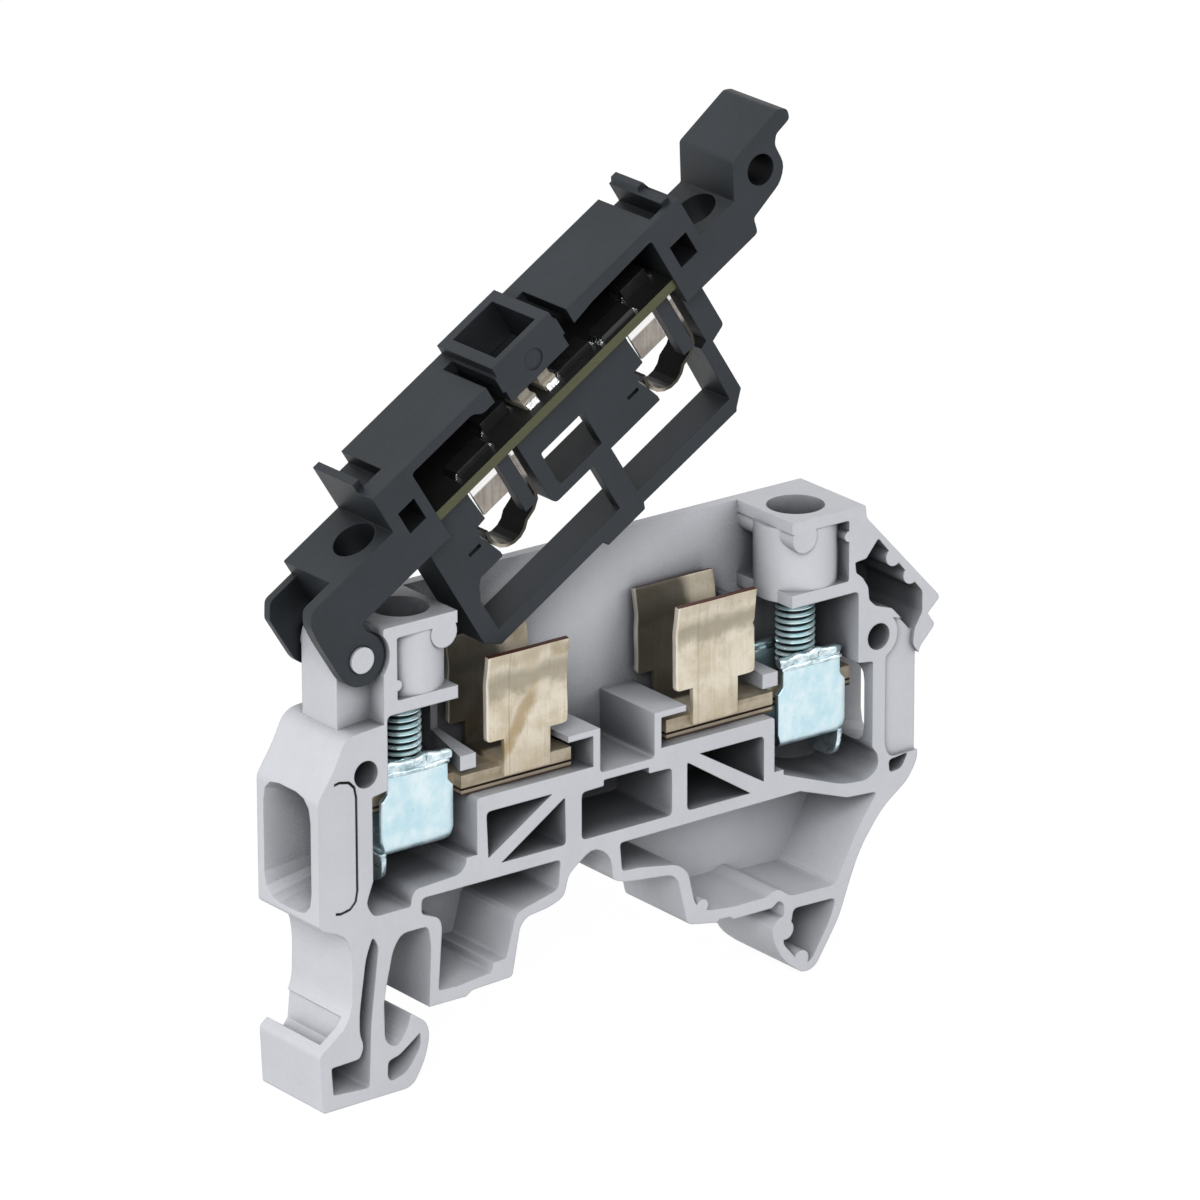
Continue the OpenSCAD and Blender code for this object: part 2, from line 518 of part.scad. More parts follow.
module lever_frame() {
    f0 = frame_t;
    f1 = frame_t + wall_t;
    // posts and the bar under the fuse
    deep(f0, frame_back) shape([[near(-6.22), board_v + 0.5], [near(-4.87), board_v + 0.5],
        [near(-4.87), cradle_v1], [near(-4.87), cradle_v0 + 0.5], [near(-5.27), cradle_v0],
        [near(-6.32), cradle_v1]]);
    deep(f0, frame_back) shape([[far(3.63), board_v + 0.5], [far(5.43), board_v + 0.5],
        [far(5.43), -2.2, 0.3], [far(4.08), -2.6], [far(4.08), cradle_v1], [far(2.88), cradle_v0],
        [far(3.03), -2.4], [far(3.63), -2.2]]);
    deep(f0, f0 + cradle_t) shape([[near(-5.27), cradle_v0], [mid(-2.47), cradle_v0],
        [mid(-2.27), cradle_v0 - 0.5, 0.1], [mid(1.53), cradle_v0 - 0.5, 0.1],
        [mid(1.73), cradle_v0], [far(2.88), cradle_v0 - 0.1], [far(3.68), cradle_v1],
        [near(-5.97), cradle_v1]]);
    // front walls beside the springs, the two pillars and the strut of the bar
    deep(f0, f1) difference() {
        union() {
            shape(concat([[near(-5.47), board_v + 0.2]], lip(spring_l),
                [[near(-3.97), -2.99, 0.1], [near(-4.47), -3.6, 0.2], [near(-4.92), -4.6]]));
            shape(concat([[mid(1.33), board_v + 0.2]], lip(spring_r), [[mid(1.33), -2.99]]));
            for (u = pillars) translate([u, -1.7]) square([pillar_w, rib_top + 1.7]);
            translate([mid(-0.07), cradle_v1 - 0.1]) square([1.8, 5]);
        }
        for (at = [spring_l, spring_r]) translate([at - 3.8, -1.1]) square([1.15, 0.3]);
    }
    // rail under the back of the board and the ribs that carry the pillars
    lever_box(win_u0 - 1, win_u1 + 1, rail_v, board_v, frame_back - 0.3, lever_t);
    for (u = pillars) lever_box(u, u + pillar_w, rail_v, rib_top, f0, frame_back);
    // window block between the springs
    deep(f0, frame_back) difference() {
        shape([[near(3.48), board_v + 0.2], [near(3.53), -2.5, 0.3], [near(3.83), -2.99, 0.3],
            [far(-3.72), -2.99], [far(-3.72), board_v + 0.2]]);
        rounded_box(mid(-2.97), -2.1, mid(3.03), 1, 0.2);
    }
}

module lamp_shaft() {
    lever_box(mid(-3.17), mid(2.63), 6.7, roof_v + 0.8, 0, lever_t - 0.1);
}

module fuse_lever() {
    color(dark) at_lever() difference() {
        union() {
            cheeks();
            lever_head();
            lever_frame();
            lamp_shaft();
            // fins that hold the marker strip
            lever_box(box_u0, box_u0 + 0.6, roof_v - eps, roof_v + 0.7, 1.8, lever_t);
            lever_box(far(5.78), far(6.48), roof_v - eps, roof_v + 0.35, 0.6, lever_t);
            deep(3.4, lever_t) polygon([[far(5.78), roof_v], [far(6.18), roof_v + 0.65],
                [far(6.68), roof_v + 0.65], [box_u1, roof_v]]);
        }
        for (u = [5.25, hand(-0.27)]) translate([u, 2.6, -1]) cylinder(d = probe_d, h = 15);
        // open middle of the lamp shaft and the relief slots beside it
        lever_box(mid(-2.27), mid(1.73), 6, 12, 0.6, board_t1);
        lever_box(mid(-4.27), mid(-3.37), roof_v - 2, roof_v + 2, -1, 5);
        lever_box(mid(2.83), mid(3.83), roof_v - 2, roof_v + 2, -1, 5);
        // round mark of the mould's pin on the shaft's front
        translate([mid(-0.17), -1, 8]) rotate([-90, 0, 0]) cylinder(r = 0.8, h = 1.1, $fn = 32);
        // marker grooves
        lever_box(box_u0 + 0.6, box_u0 + 2.4, roof_v - 1.1, roof_v + 2, 1.8, lever_t + 1);
        lever_box(far(4.48), far(5.78), roof_v - 1.3, roof_v + 2, 0.6, lever_t + 1);
        // core holes of the end blocks and the hole in the grip
        deep(-1, lever_t + 1) {
            translate([near(-6.97), 4.75]) square([1.6, 1.95]);
            translate([far(4.43), 4.65]) square([1.65, 1.95]);
            translate([hand(4.43), 5.9]) circle(r = 1.15);
        }
        // slot for the board
        lever_box(board_u0 - board_fit, board_u1 + board_fit, board_v - board_fit, board_top + board_fit,
            board_t0 - board_fit, board_t1 + board_fit);
    }
}

module circuit_board() {
    color("#7a7648") at_lever() lever_box(board_u0, board_u1, board_v, board_top, board_t0, board_t1);
}

// Contact spring: a strip that hangs from the board, bows round under it and presses on the fuse cap
leg_u = 3.03;
module spring_strip() {
    c = [0, -1.34];
    r = 1.87 - spring_t / 2;
    path = concat(
        [for (a = [160:20:325]) c + r * [cos(a), sin(a)]],
        [[2.23, -2.2], [2.83, -1.75], [leg_u, -1.1], [leg_u, board_v]]);
    for (i = [0:len(path) - 2]) {
        d = path[i + 1] - path[i];
        translate(path[i]) rotate(atan2(d[1], d[0])) translate([0, -spring_t / 2])
            square([norm(d), spring_t]);
        if (i > 0) translate(path[i]) circle(d = spring_t, $fn = 16);
    }
}
module contact_spring(at) {
    t0 = frame_t + 0.3;
    tab_u = -1.22;
    color("#c9c6bd") at_lever() translate([at, 0, 0]) {
        deep(t0, t0 + spring_w) spring_strip();
        // tab at the board's edge
        lever_box(tab_u, tab_u + 2.45, 0.6, board_v, t0 - spring_t, t0);
        lever_box(tab_u, leg_u, board_v - spring_t, board_v, t0 - spring_t, t0 + spring_w);
    }
}

// Chips on the board: [u, t, length, width, height]
chip_solder = 0.35;
resistors = [[mid(-8.97), 1.1, 3.1, 1.6, 0.55], [mid(1.43), 1.2, 3.1, 1.6, 0.55],
    [mid(5.23), 0.5, 3.1, 1.6, 0.55]];
diodes = [[mid(-5.07), 2.6, 2.4, 1.6, 1], [mid(8.93), 2.2, 2.4, 1.6, 1]];
lamps = [[mid(-2.07), 1.3, 1.2, 2.4, 1.1], [mid(-0.07), 1.3, 1.2, 2.4, 1.1]];
module chip(c) {
    at_lever() lever_box(c[0], c[0] + c[2], board_top, board_top + c[4], c[1], c[1] + c[3]);
}
module lamp(c) {
    color("#d8cdb4") at_lever() union() {
        lever_box(c[0], c[0] + c[2], board_top, board_top + 0.6, c[1], c[1] + c[3]);
        lever_box(c[0] + 0.1, c[0] + c[2] - 0.1, board_top + 0.6 - eps, board_top + c[4], c[1] + 0.4,
            c[1] + c[3] - 0.4);
    }
}
module fillet() {
    polygon([[0, 0], [chip_solder, 0], [0.1, 0.4], [0, 0.4]]);
}
module solder_joints() {
    color("#d9dcde") at_lever() {
        for (c = concat(resistors, diodes)) for (side = [0, 1])
            translate([c[0] + side * c[2], 0, board_top]) mirror([1 - side, 0, 0])
                deep(c[1] + 0.1, c[1] + c[3] - 0.1) fillet();
        for (c = lamps) for (side = [0, 1])
            translate([c[0] + 0.1, c[1] + side * c[3], board_top]) mirror([0, 1 - side, 0])
                along(0, c[2] - 0.2) fillet();
    }
}

housing();
side_of(1) busbar();  // busbar_left
side_of(0) busbar();  // busbar_right
side_of(1) fork();  // fork_contact_left
side_of(0) fork();  // fork_contact_right
side_of(1) cage();  // clamp_cage_left
side_of(0) cage();  // clamp_cage_right
side_of(1) screw();  // clamp_screw_left
side_of(0) screw();  // clamp_screw_right
fuse_lever();
circuit_board();
contact_spring(spring_l);  // contact_spring_left
contact_spring(spring_r);  // contact_spring_right
lamp(lamps[0]);  // indicator_led_1
lamp(lamps[1]);  // indicator_led_2
color("#2b2b2d") chip(resistors[0]);  // resistor_1
color("#2b2b2d") chip(resistors[1]);  // resistor_2
color("#2b2b2d") chip(resistors[2]);  // resistor_3
color("#26272a") chip(diodes[0]);  // diode_1
color("#26272a") chip(diodes[1]);  // diode_2
solder_joints();
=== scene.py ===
import math
import random
import bmesh
import bpy
from mathutils import Matrix, Vector


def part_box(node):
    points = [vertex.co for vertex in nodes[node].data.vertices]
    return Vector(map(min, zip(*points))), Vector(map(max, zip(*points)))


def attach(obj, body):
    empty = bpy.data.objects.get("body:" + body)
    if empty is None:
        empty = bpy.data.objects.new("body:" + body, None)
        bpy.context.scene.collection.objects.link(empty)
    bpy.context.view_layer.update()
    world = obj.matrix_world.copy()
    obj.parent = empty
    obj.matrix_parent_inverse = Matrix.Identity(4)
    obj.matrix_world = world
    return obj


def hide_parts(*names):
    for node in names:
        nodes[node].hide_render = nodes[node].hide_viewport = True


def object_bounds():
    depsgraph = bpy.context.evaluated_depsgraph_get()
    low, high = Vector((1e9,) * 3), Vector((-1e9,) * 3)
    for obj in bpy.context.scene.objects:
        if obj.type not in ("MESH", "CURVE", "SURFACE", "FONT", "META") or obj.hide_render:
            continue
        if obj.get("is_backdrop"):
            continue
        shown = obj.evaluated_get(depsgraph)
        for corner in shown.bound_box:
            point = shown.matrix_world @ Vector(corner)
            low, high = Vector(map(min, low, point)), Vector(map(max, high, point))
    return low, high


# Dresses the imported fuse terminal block: camera, lamps, finishes and the small metal pieces.
# Lengths in the dictionaries are millimetres and are turned into metres where they are used.
mm = 0.001
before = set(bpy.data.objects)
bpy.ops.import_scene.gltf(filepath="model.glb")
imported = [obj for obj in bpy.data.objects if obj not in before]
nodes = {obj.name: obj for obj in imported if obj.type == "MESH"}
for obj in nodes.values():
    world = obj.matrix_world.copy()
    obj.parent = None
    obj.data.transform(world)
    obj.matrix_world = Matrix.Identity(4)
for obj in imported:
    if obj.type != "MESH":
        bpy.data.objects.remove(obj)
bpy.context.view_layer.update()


print("frame loaded:", len(nodes), "nodes")

# Camera at the photograph's angle, solved from the rail seats and the slot between the feet
cameraView = {
    "place": (-359.117, -478.037, 244.784),
    "azimuth": -37.0,
    "elevation": 20.0,
    "roll": -0.17,
    "lens": 273.9,
    "sensor": 36.0,
}


def makeCamera(v):
    a, e, r = (math.radians(v[k]) for k in ("azimuth", "elevation", "roll"))
    flatRight = Vector((math.cos(a), math.sin(a), 0))
    back = Vector((math.sin(a) * math.cos(e), -math.cos(a) * math.cos(e), math.sin(e)))
    flatUp = back.cross(flatRight)
    right = math.cos(r) * flatRight + math.sin(r) * flatUp
    up = math.cos(r) * flatUp - math.sin(r) * flatRight
    data = bpy.data.cameras.new("camera")
    data.lens, data.sensor_width = v["lens"], v["sensor"]
    data.clip_start, data.clip_end = 0.05, 20
    camera = bpy.data.objects.new("camera", data)
    bpy.context.scene.collection.objects.link(camera)
    turn = Matrix((right, up, back)).transposed().to_4x4()
    camera.matrix_world = Matrix.Translation(Vector(v["place"]) * mm) @ turn
    bpy.context.scene.camera = camera


makeCamera(cameraView)
bpy.context.scene.view_settings.view_transform = "Standard"
print("camera placed")


# Shader expressions: a Wire is one output socket, and arithmetic on it adds Math nodes
class Wire:
    def __init__(self, finish, socket):
        self.finish, self.socket = finish, socket

    def join(self, operation, a, b, clamp=False):
        return self.finish.node("Math", {"operation": operation, "use_clamp": clamp}, {0: a, 1: b})

    def __add__(self, other):
        return self.join("ADD", self, other)

    def __radd__(self, other):
        return self.join("ADD", other, self)

    def __sub__(self, other):
        return self.join("SUBTRACT", self, other)

    def __rsub__(self, other):
        return self.join("SUBTRACT", other, self)

    def __mul__(self, other):
        return self.join("MULTIPLY", self, other)

    def __rmul__(self, other):
        return self.join("MULTIPLY", other, self)

    def clamped(self):
        return self.join("ADD", self, 0.0, clamp=True)

    def sway(self, span):
        # a noise, which stays about 0.5, made to swing about 0
        return (self - 0.5) * span


class Finish:
    # one node tree, of a material or of the world, and the nodes that are added to it
    def __init__(self, name, tree=None, **constants):
        if tree is None:
            self.material = bpy.data.materials.new(name)
            self.material.use_nodes = True
            tree = self.material.node_tree
            self.shader = tree.nodes["Principled BSDF"]
            for socket, value in constants.items():
                self.shader.inputs[socket.replace("_", " ")].default_value = value
        self.tree = tree

    def plug(self, socket, value):
        if isinstance(value, Wire):
            self.tree.links.new(value.socket, socket)
        elif value is not None:
            if socket.type == "RGBA" and len(value) == 3:
                value = (*value, 1)
            socket.default_value = value

    def node(self, kind, settings=None, inputs=None, output=0):
        made = self.tree.nodes.new("ShaderNode" + kind)
        for key, value in (settings or {}).items():
            setattr(made, key, value)
        for key, value in (inputs or {}).items():
            self.plug(made.inputs[key], value)
        return Wire(self, made.outputs[output])

    def axis(self, direction, source="Object"):
        # how far along a direction, in mm for a place and plain for a normal
        scale = 1000 if source == "Object" else 1
        spot = self.node("TexCoord", output=source)
        return self.node("VectorMath", {"operation": "DOT_PRODUCT"},
                         {0: spot, 1: tuple(scale * d for d in direction)}, output="Value")

    def noise(self, perMm, detail, rough, shift=0.0, stretch=(1, 1, 1)):
        spot = self.node("Mapping", None, {
            "Vector": self.node("TexCoord", output="Object"), "Location": (shift, shift, shift),
            "Scale": tuple(1000 * perMm * s for s in stretch)})
        return self.node("TexNoise", None, {"Vector": spot, "Scale": 1.0, "Detail": detail, "Roughness": rough})

    def ramp(self, value, low, high):
        # from 0 at low to 1 at high, which may be the smaller one
        return self.node("MapRange", {"interpolation_type": "SMOOTHSTEP"},
                         {"Value": value, "From Min": low, "From Max": high})

    def blend(self, factor, a, b):
        return self.node("Mix", {"data_type": "RGBA", "clamp_factor": True}, {0: factor, 6: a, 7: b}, output=2)

    def tint(self, colour, mask, layer):
        # lays a layer, which is a colour and how strong it is, over what is there
        tone, share = layer
        return self.blend(mask * share, colour, tone)

    def bump(self, height, depthMm, normal=None):
        return self.node("Bump", None, {"Height": height, "Distance": depthMm * mm, "Normal": normal})

    def hollow(self, reachMm, local=False):
        # 1 on open faces, falling towards 0 in corners and hollows, of the piece itself or of all pieces
        return self.node("AmbientOcclusion", {"samples": 4, "only_local": local}, {"Distance": reachMm * mm},
                         output="AO")

    def roundEdge(self, radiusMm):
        return self.node("Bevel", {"samples": 4}, {"Radius": radiusMm * mm})

    def feed(self, **links):
        for socket, value in links.items():
            self.plug(self.shader.inputs[socket.replace("_", " ")], value)
        return self.material


# Moulded plastic. Every noise is written as parts per mm, detail, roughness, shift and stretch;
# one whose scale or stretch differs between finishes takes that from the finish.
plasticLook = {
    "cloud": (0.12, 4, 0.6),
    "speck": (2.2, 2, 0.6, 3.1),
    "grain": (2, 0.5, 1.7),
    "flow": (0.35, 3, 0.6, 8.0, (1, 1, 0.25)),
    "toneShares": (0.55, 0.2, 0.25),
    "toneRange": (0.3, 0.7),
    "grainRough": 0.12,
    "flowRough": 0.16,
    "flowDepth": 0.02,
    # painted shade beside near pieces falls on the clamps and forks in full, the lower windows less
    # and the feet not at all, which the floor would darken
    "nearRange": (0.15, 0.95),
    "windowsFrom": (9.0, 5.0),
    "windowsEase": 0.4,
    "feetFrom": (1.0, -4.0),
}


def mouldedPlastic(name, look):
    # satin surface with faint mottling, fine grain and slightly softened edges, with painted shade
    # in its own hollows and beside other pieces
    p = plasticLook
    f = Finish(name, Specular_IOR_Level=look["specular"], IOR=1.5)
    cloud, speck, flow = (f.noise(*p[key]) for key in ("cloud", "speck", "flow"))
    grain = f.noise(look["grainPerMm"], *p["grain"])
    byCloud, bySpeck, byFlow = p["toneShares"]
    tone = f.ramp(cloud * byCloud + speck * bySpeck + flow * byFlow, *p["toneRange"])
    colour = f.blend(tone, look["low"], look["high"])
    # painted shade: darker in the piece's own hollows
    colour = f.blend(f.ramp(f.hollow(look["reach"], True), *look["span"]), look["deep"], colour)
    # painted shade beside other pieces, eased over the lower windows and gone at the feet
    height = f.axis((0, 0, 1))
    near = f.hollow(look["near"]) + f.ramp(height, *p["windowsFrom"]) * p["windowsEase"]
    near = near + f.ramp(height, *p["feetFrom"])
    colour = f.blend(f.ramp(near, *p["nearRange"]), look["shade"], colour)
    rough = look["rough"] + grain.sway(p["grainRough"]) + flow.sway(p["flowRough"])
    normal = f.bump(grain, look["grainDepth"], f.roundEdge(look["edge"]))
    normal = f.bump(flow, p["flowDepth"], normal)
    return f.feed(Base_Color=colour, Roughness=rough, Normal=normal)


# Plated or rolled metal, and solder
sheetLook = {
    "cloud": (4, 0.65, 2.0),
    "streak": (1.6, 4, 0.6, 5.0),
    "pitAndReflection": (2, 0.5, 9.0),
    "stainShares": (0.7, 0.3),
    "stainRange": (0.36, 0.66),
    "pitAndReflectionRange": (0.66, 0.74),
    "cornerShadeReach": 2.5,
    "cornerShadeRange": (0.1, 0.6),
    "streakRough": 0.15,
}


def platedSheet(name, look):
    # streaks, cloudy tarnishing and pits, with painted shade in corners; on the fold the cloud and spots
    # are painted dark reflections
    p = sheetLook
    f = Finish(name, Metallic=look["metal"])
    cloud = f.noise(look["cloudPerMm"], *p["cloud"])
    streak = f.noise(*p["streak"], look["streak"])
    pitAndReflection = f.noise(look["pitAndReflectionPerMm"], *p["pitAndReflection"])
    byCloud, byStreak = p["stainShares"]
    # tarnishing on zinc and solder; on the fold, painted dark reflections against its bright clean colour
    stain = f.ramp(cloud * byCloud + streak * byStreak, *p["stainRange"])
    colour = f.blend(stain, look["clean"], look["tarnish"])
    # pits on zinc and solder; on the fold, painted dark reflections
    colour = f.blend(f.ramp(pitAndReflection, *p["pitAndReflectionRange"]) * look["spots"], colour, look["dark"])
    # painted shade: darker in corners
    colour = f.blend(f.ramp(f.hollow(p["cornerShadeReach"]), *p["cornerShadeRange"]), look["deep"], colour)
    rough = (look["rough"] + stain * look["roughMore"] + streak.sway(p["streakRough"])).clamped()
    normal = f.bump(streak, look["streakDepth"], f.roundEdge(look["edge"]))
    normal = f.bump(cloud, look["waviness"], normal)
    return f.feed(Base_Color=colour, Roughness=rough, Normal=normal)


# The plastics' deep is the painted shade colour of their own hollows, looked for within reach mm and graded
# over span, and their shade is the painted shade colour beside pieces nearer than near mm. The metals' deep
# is the painted shade colour of corners.
finishes = {
    "housing": {"low": (0.5, 0.512, 0.545), "high": (0.56, 0.572, 0.605), "deep": (0.19, 0.196, 0.212),
                "shade": (0.05, 0.052, 0.058), "near": 8.0, "reach": 6.5, "span": (0.0, 0.66),
                "rough": 0.52, "specular": 0.35, "grainPerMm": 7.0, "grainDepth": 0.006, "edge": 0.12},
    "lever": {"low": (0.014, 0.018, 0.022), "high": (0.022, 0.027, 0.033), "deep": (0.003, 0.004, 0.005),
              "shade": (0.002, 0.002, 0.003), "near": 2.5, "reach": 9.0, "span": (0.3, 0.98),
              "rough": 0.5, "specular": 0.3, "grainPerMm": 8.0, "grainDepth": 0.008, "edge": 0.12},
    "zinc": {"clean": (0.52, 0.73, 0.81), "tarnish": (0.72, 0.84, 0.88), "dark": (0.28, 0.34, 0.36), "spots": 0.35,
             "deep": (0.04, 0.07, 0.085), "cloudPerMm": 0.5, "pitAndReflectionPerMm": 4.5, "streak": (1, 1, 0.5),
             "streakDepth": 0.01, "waviness": 0.05, "rough": 0.3, "roughMore": 0.12, "edge": 0.06, "metal": 0.85},
    # on the fold, the darker cloud and the dark spots against the bright clean colour are painted dark reflections
    "fold": {"clean": (0.8, 0.92, 0.96), "tarnish": (0.34, 0.46, 0.5), "dark": (0.02, 0.035, 0.045), "spots": 0.85,
             "deep": (0.03, 0.05, 0.06), "cloudPerMm": 1.1, "pitAndReflectionPerMm": 1.7, "streak": (1, 1, 1),
             "streakDepth": 0.004, "waviness": 0.05, "rough": 0.12, "roughMore": 0.12, "edge": 0.08, "metal": 0.9},
    "solder": {"clean": (0.8, 0.81, 0.82), "tarnish": (0.5, 0.51, 0.53), "dark": (0.1, 0.1, 0.1), "spots": 0.4,
               "deep": (0.1, 0.1, 0.1), "cloudPerMm": 1.8, "pitAndReflectionPerMm": 4.5, "streak": (1, 1, 1),
               "streakDepth": 0.04, "waviness": 0.2, "rough": 0.1, "roughMore": 0.1, "edge": 0.1, "metal": 1.0},
}
housingPlastic = mouldedPlastic("light_grey_plastic", finishes["housing"])
leverPlastic = mouldedPlastic("dark_grey_plastic", finishes["lever"])
blueZinc = platedSheet("blue_zinc_plate", finishes["zinc"])
foldedZinc = platedSheet("folded_zinc_edge", finishes["fold"])
brightSolder = platedSheet("bright_solder", finishes["solder"])

# Directions of the open lever: along it from the pivot, and up from it
leverTilt = math.radians(32)
leverAlong = Vector((math.cos(leverTilt), 0, math.sin(leverTilt)))
leverUp = Vector((-math.sin(leverTilt), 0, math.cos(leverTilt)))

# Circuit board: olive laminate at the edges, black mask on the faces that look up or down
boardLook = {
    "layers": (2.5, 2, 0.5, 0.0, (0.3, 0.3, 6)),
    "cloud": (0.8, 3, 0.6),
    "laminate": ((0.03, 0.033, 0.01), (0.085, 0.087, 0.03)),
    "stain": ((0.03, 0.03, 0.015), 0.4),
    "mask": (0.006, 0.007, 0.006),
    "maskRange": (0.5, 0.7),
    "rough": 0.42,
    "layerRough": 0.2,
    "layerDepth": 0.02,
}


def glassEpoxy(look):
    f = Finish("glass_epoxy_board", Specular_IOR_Level=0.45)
    layers, cloud = f.noise(*look["layers"]), f.noise(*look["cloud"])
    colour = f.tint(f.blend(layers, *look["laminate"]), cloud, look["stain"])
    flat = f.axis(leverUp, "Normal")
    colour = f.blend(f.ramp(flat * flat, *look["maskRange"]), colour, look["mask"])
    return f.feed(Base_Color=colour, Roughness=look["rough"] + layers.sway(look["layerRough"]),
                  Normal=f.bump(layers, look["layerDepth"]))


# Chips: black epoxy with a thin painted glint along the edge between the top and the open side
chipLook = {
    "cloud": (1.2, 3, 0.5),
    "grain": (9, 2, 0.5),
    "body": ((0.006, 0.006, 0.007), (0.014, 0.014, 0.015)),
    # painted highlight along that edge
    "glint": ((0.4, 0.45, 0.52), 0.8),
    "glintRange": (0.88, 0.97),
    "rough": 0.3,
    "cloudRough": 0.2,
    "grainDepth": 0.006,
    "edge": 0.08,
}


def chipBody(look):
    f = Finish("black_chip", Specular_IOR_Level=0.5)
    cloud, grain = f.noise(*look["cloud"]), f.noise(*look["grain"])
    edge = f.axis((leverUp - Vector((0, 1, 0))) * math.sqrt(0.5), "Normal")
    # painted highlight: a thin glint on the edge faces between the top and the open side
    colour = f.tint(f.blend(cloud, *look["body"]), f.ramp(edge, *look["glintRange"]), look["glint"])
    return f.feed(Base_Color=colour, Roughness=look["rough"] + cloud.sway(look["cloudRough"]),
                  Normal=f.bump(grain, look["grainDepth"], f.roundEdge(look["edge"])))


boardEpoxy = glassEpoxy(boardLook)
chipBlack = chipBody(chipLook)


print("finishes made")

nodeFinish = {
    "housing": housingPlastic, "fuse_lever": leverPlastic, "circuit_board": boardEpoxy,
    "resistor": chipBlack, "diode": chipBlack,
    "solder_joints": brightSolder,
}
softEdges = {"resistor": 0.07, "diode": 0.1, "solder_joints": 0.06, "circuit_board": 0.03}
for name, node in nodes.items():
    stem = next((s for s in nodeFinish if name.startswith(s)), None)
    node.data.materials.clear()
    node.data.materials.append(nodeFinish[stem] if stem else blueZinc)
    if stem in softEdges:
        edge = node.modifiers.new("softEdge", "BEVEL")
        edge.width, edge.segments = softEdges[stem] * mm, 2
print("CAD nodes dressed")

# Pieces made here in place of plain CAD solids; edges above these angles are bevelled or stay sharp
bevelAngle = 50
sharpAngle = 40


def makePiece(name, points, faces, finish, body, node=None):
    mesh = bpy.data.meshes.new(name)
    mesh.from_pydata([tuple(c * mm for c in p) for p in points], [], faces)
    piece = bpy.data.objects.new(name, mesh)
    bpy.context.scene.collection.objects.link(piece)
    mesh.materials.append(finish)
    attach(piece, body)
    if node:
        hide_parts(node)
    return piece


def finishPiece(piece, thickness=0.0, bevel=0.0):
    # gives a sheet its thickness and round edges, and keeps the result as the piece's own mesh
    if thickness:
        thick = piece.modifiers.new("thick", "SOLIDIFY")
        thick.thickness, thick.offset, thick.use_even_offset = thickness * mm, 0, True
    if bevel:
        edge = piece.modifiers.new("edge", "BEVEL")
        edge.width, edge.segments, edge.limit_method = bevel * mm, 2, "ANGLE"
        edge.angle_limit = math.radians(bevelAngle)
    bpy.context.view_layer.update()
    made = bpy.data.meshes.new_from_object(piece.evaluated_get(bpy.context.evaluated_depsgraph_get()))
    piece.modifiers.clear()
    piece.data = made
    work = bmesh.new()
    work.from_mesh(made)
    bmesh.ops.recalc_face_normals(work, faces=work.faces)
    work.to_mesh(made)
    work.free()
    made.shade_smooth()
    made.set_sharp_from_angle(angle=math.radians(sharpAngle))


def gridFaces(rows, columns, start=0, keep=None):
    # quads between the points of a grid that is stored row by row, all or only those that keep picks
    return [(start + r * columns + c, start + r * columns + c + 1,
             start + (r + 1) * columns + c + 1, start + (r + 1) * columns + c)
            for r in range(rows - 1) for c in range(columns - 1) if keep is None or keep(r, c)]


def curveThrough(points, steps):
    # smooth curve through flat points, with so many steps from each to the next
    out = []
    last = len(points) - 1
    for i in range(last):
        p0, p1, p2, p3 = (Vector(points[min(max(k, 0), last)]) for k in (i - 1, i, i + 1, i + 2))
        for s in range(steps):
            t = s / steps
            out.append(0.5 * ((2 * p1) + (p2 - p0) * t + (2 * p0 - 5 * p1 + 4 * p2 - p3) * t * t
                              + (3 * p1 - p0 - 3 * p2 + p3) * t * t * t))
    return out + [Vector(points[-1])]


# Clamp screws: a rolled thread under a slotted head
clampScrew = {
    "pitch": 0.5,
    "crest": 1.45,
    "root": 1.15,
    "around": 48,
    "form": ((0.0, 0), (0.14, 0), (0.43, 1), (0.57, 1)),  # share of a turn, and whether it is the crest
    "tip": 0.72,  # how thin the thread starts, and how fast it gets full
    "tipRise": 0.5,
    "headRadius": 1.75,
    "headHeight": 2.0,
    "headSides": 64,
    "slotWide": 0.6,
    "slotDeep": 0.9,
    "slotSteps": 30,
    "edge": 0.12,
    "cloud": (1.4, 3, 0.6, 2.0),
    "cloudRange": (0.35, 0.65),
    "crestColours": ((0.62, 0.88, 0.93), (0.8, 0.95, 0.98)),
    "grooveShadeColour": (0.012, 0.024, 0.028),
    "grooveShadeRange": (0.04, 0.08),  # above the root and below the crest
    "shade": (0.01, 0.022, 0.026),
    "shadeReach": 3.0,
    "shadeRange": (0.02, 0.4),
    "rough": 0.24,
    "cloudRough": 0.2,
}


def groovedThread(side, x, y, s):
    # blue zinc on the crests, with painted shade making it near black down in the groove and darker beside other
    # pieces
    f = Finish("zinc_thread_" + side, Metallic=0.6)
    dx, dy = f.axis((1, 0, 0)) - x, f.axis((0, 1, 0)) - y
    cloud = f.noise(*s["cloud"])
    colour = f.blend(f.ramp(cloud, *s["cloudRange"]), *s["crestColours"])
    low, high = s["root"] + s["grooveShadeRange"][0], s["crest"] - s["grooveShadeRange"][1]
    # painted shade: near black from the crest down to the root
    colour = f.blend(f.ramp(dx * dx + dy * dy, low ** 2, high ** 2), s["grooveShadeColour"], colour)
    # painted shade beside other pieces
    colour = f.blend(f.ramp(f.hollow(s["shadeReach"]), *s["shadeRange"]), s["shade"], colour)
    return f.feed(Base_Color=colour, Roughness=s["rough"] + cloud.sway(s["cloudRough"]))


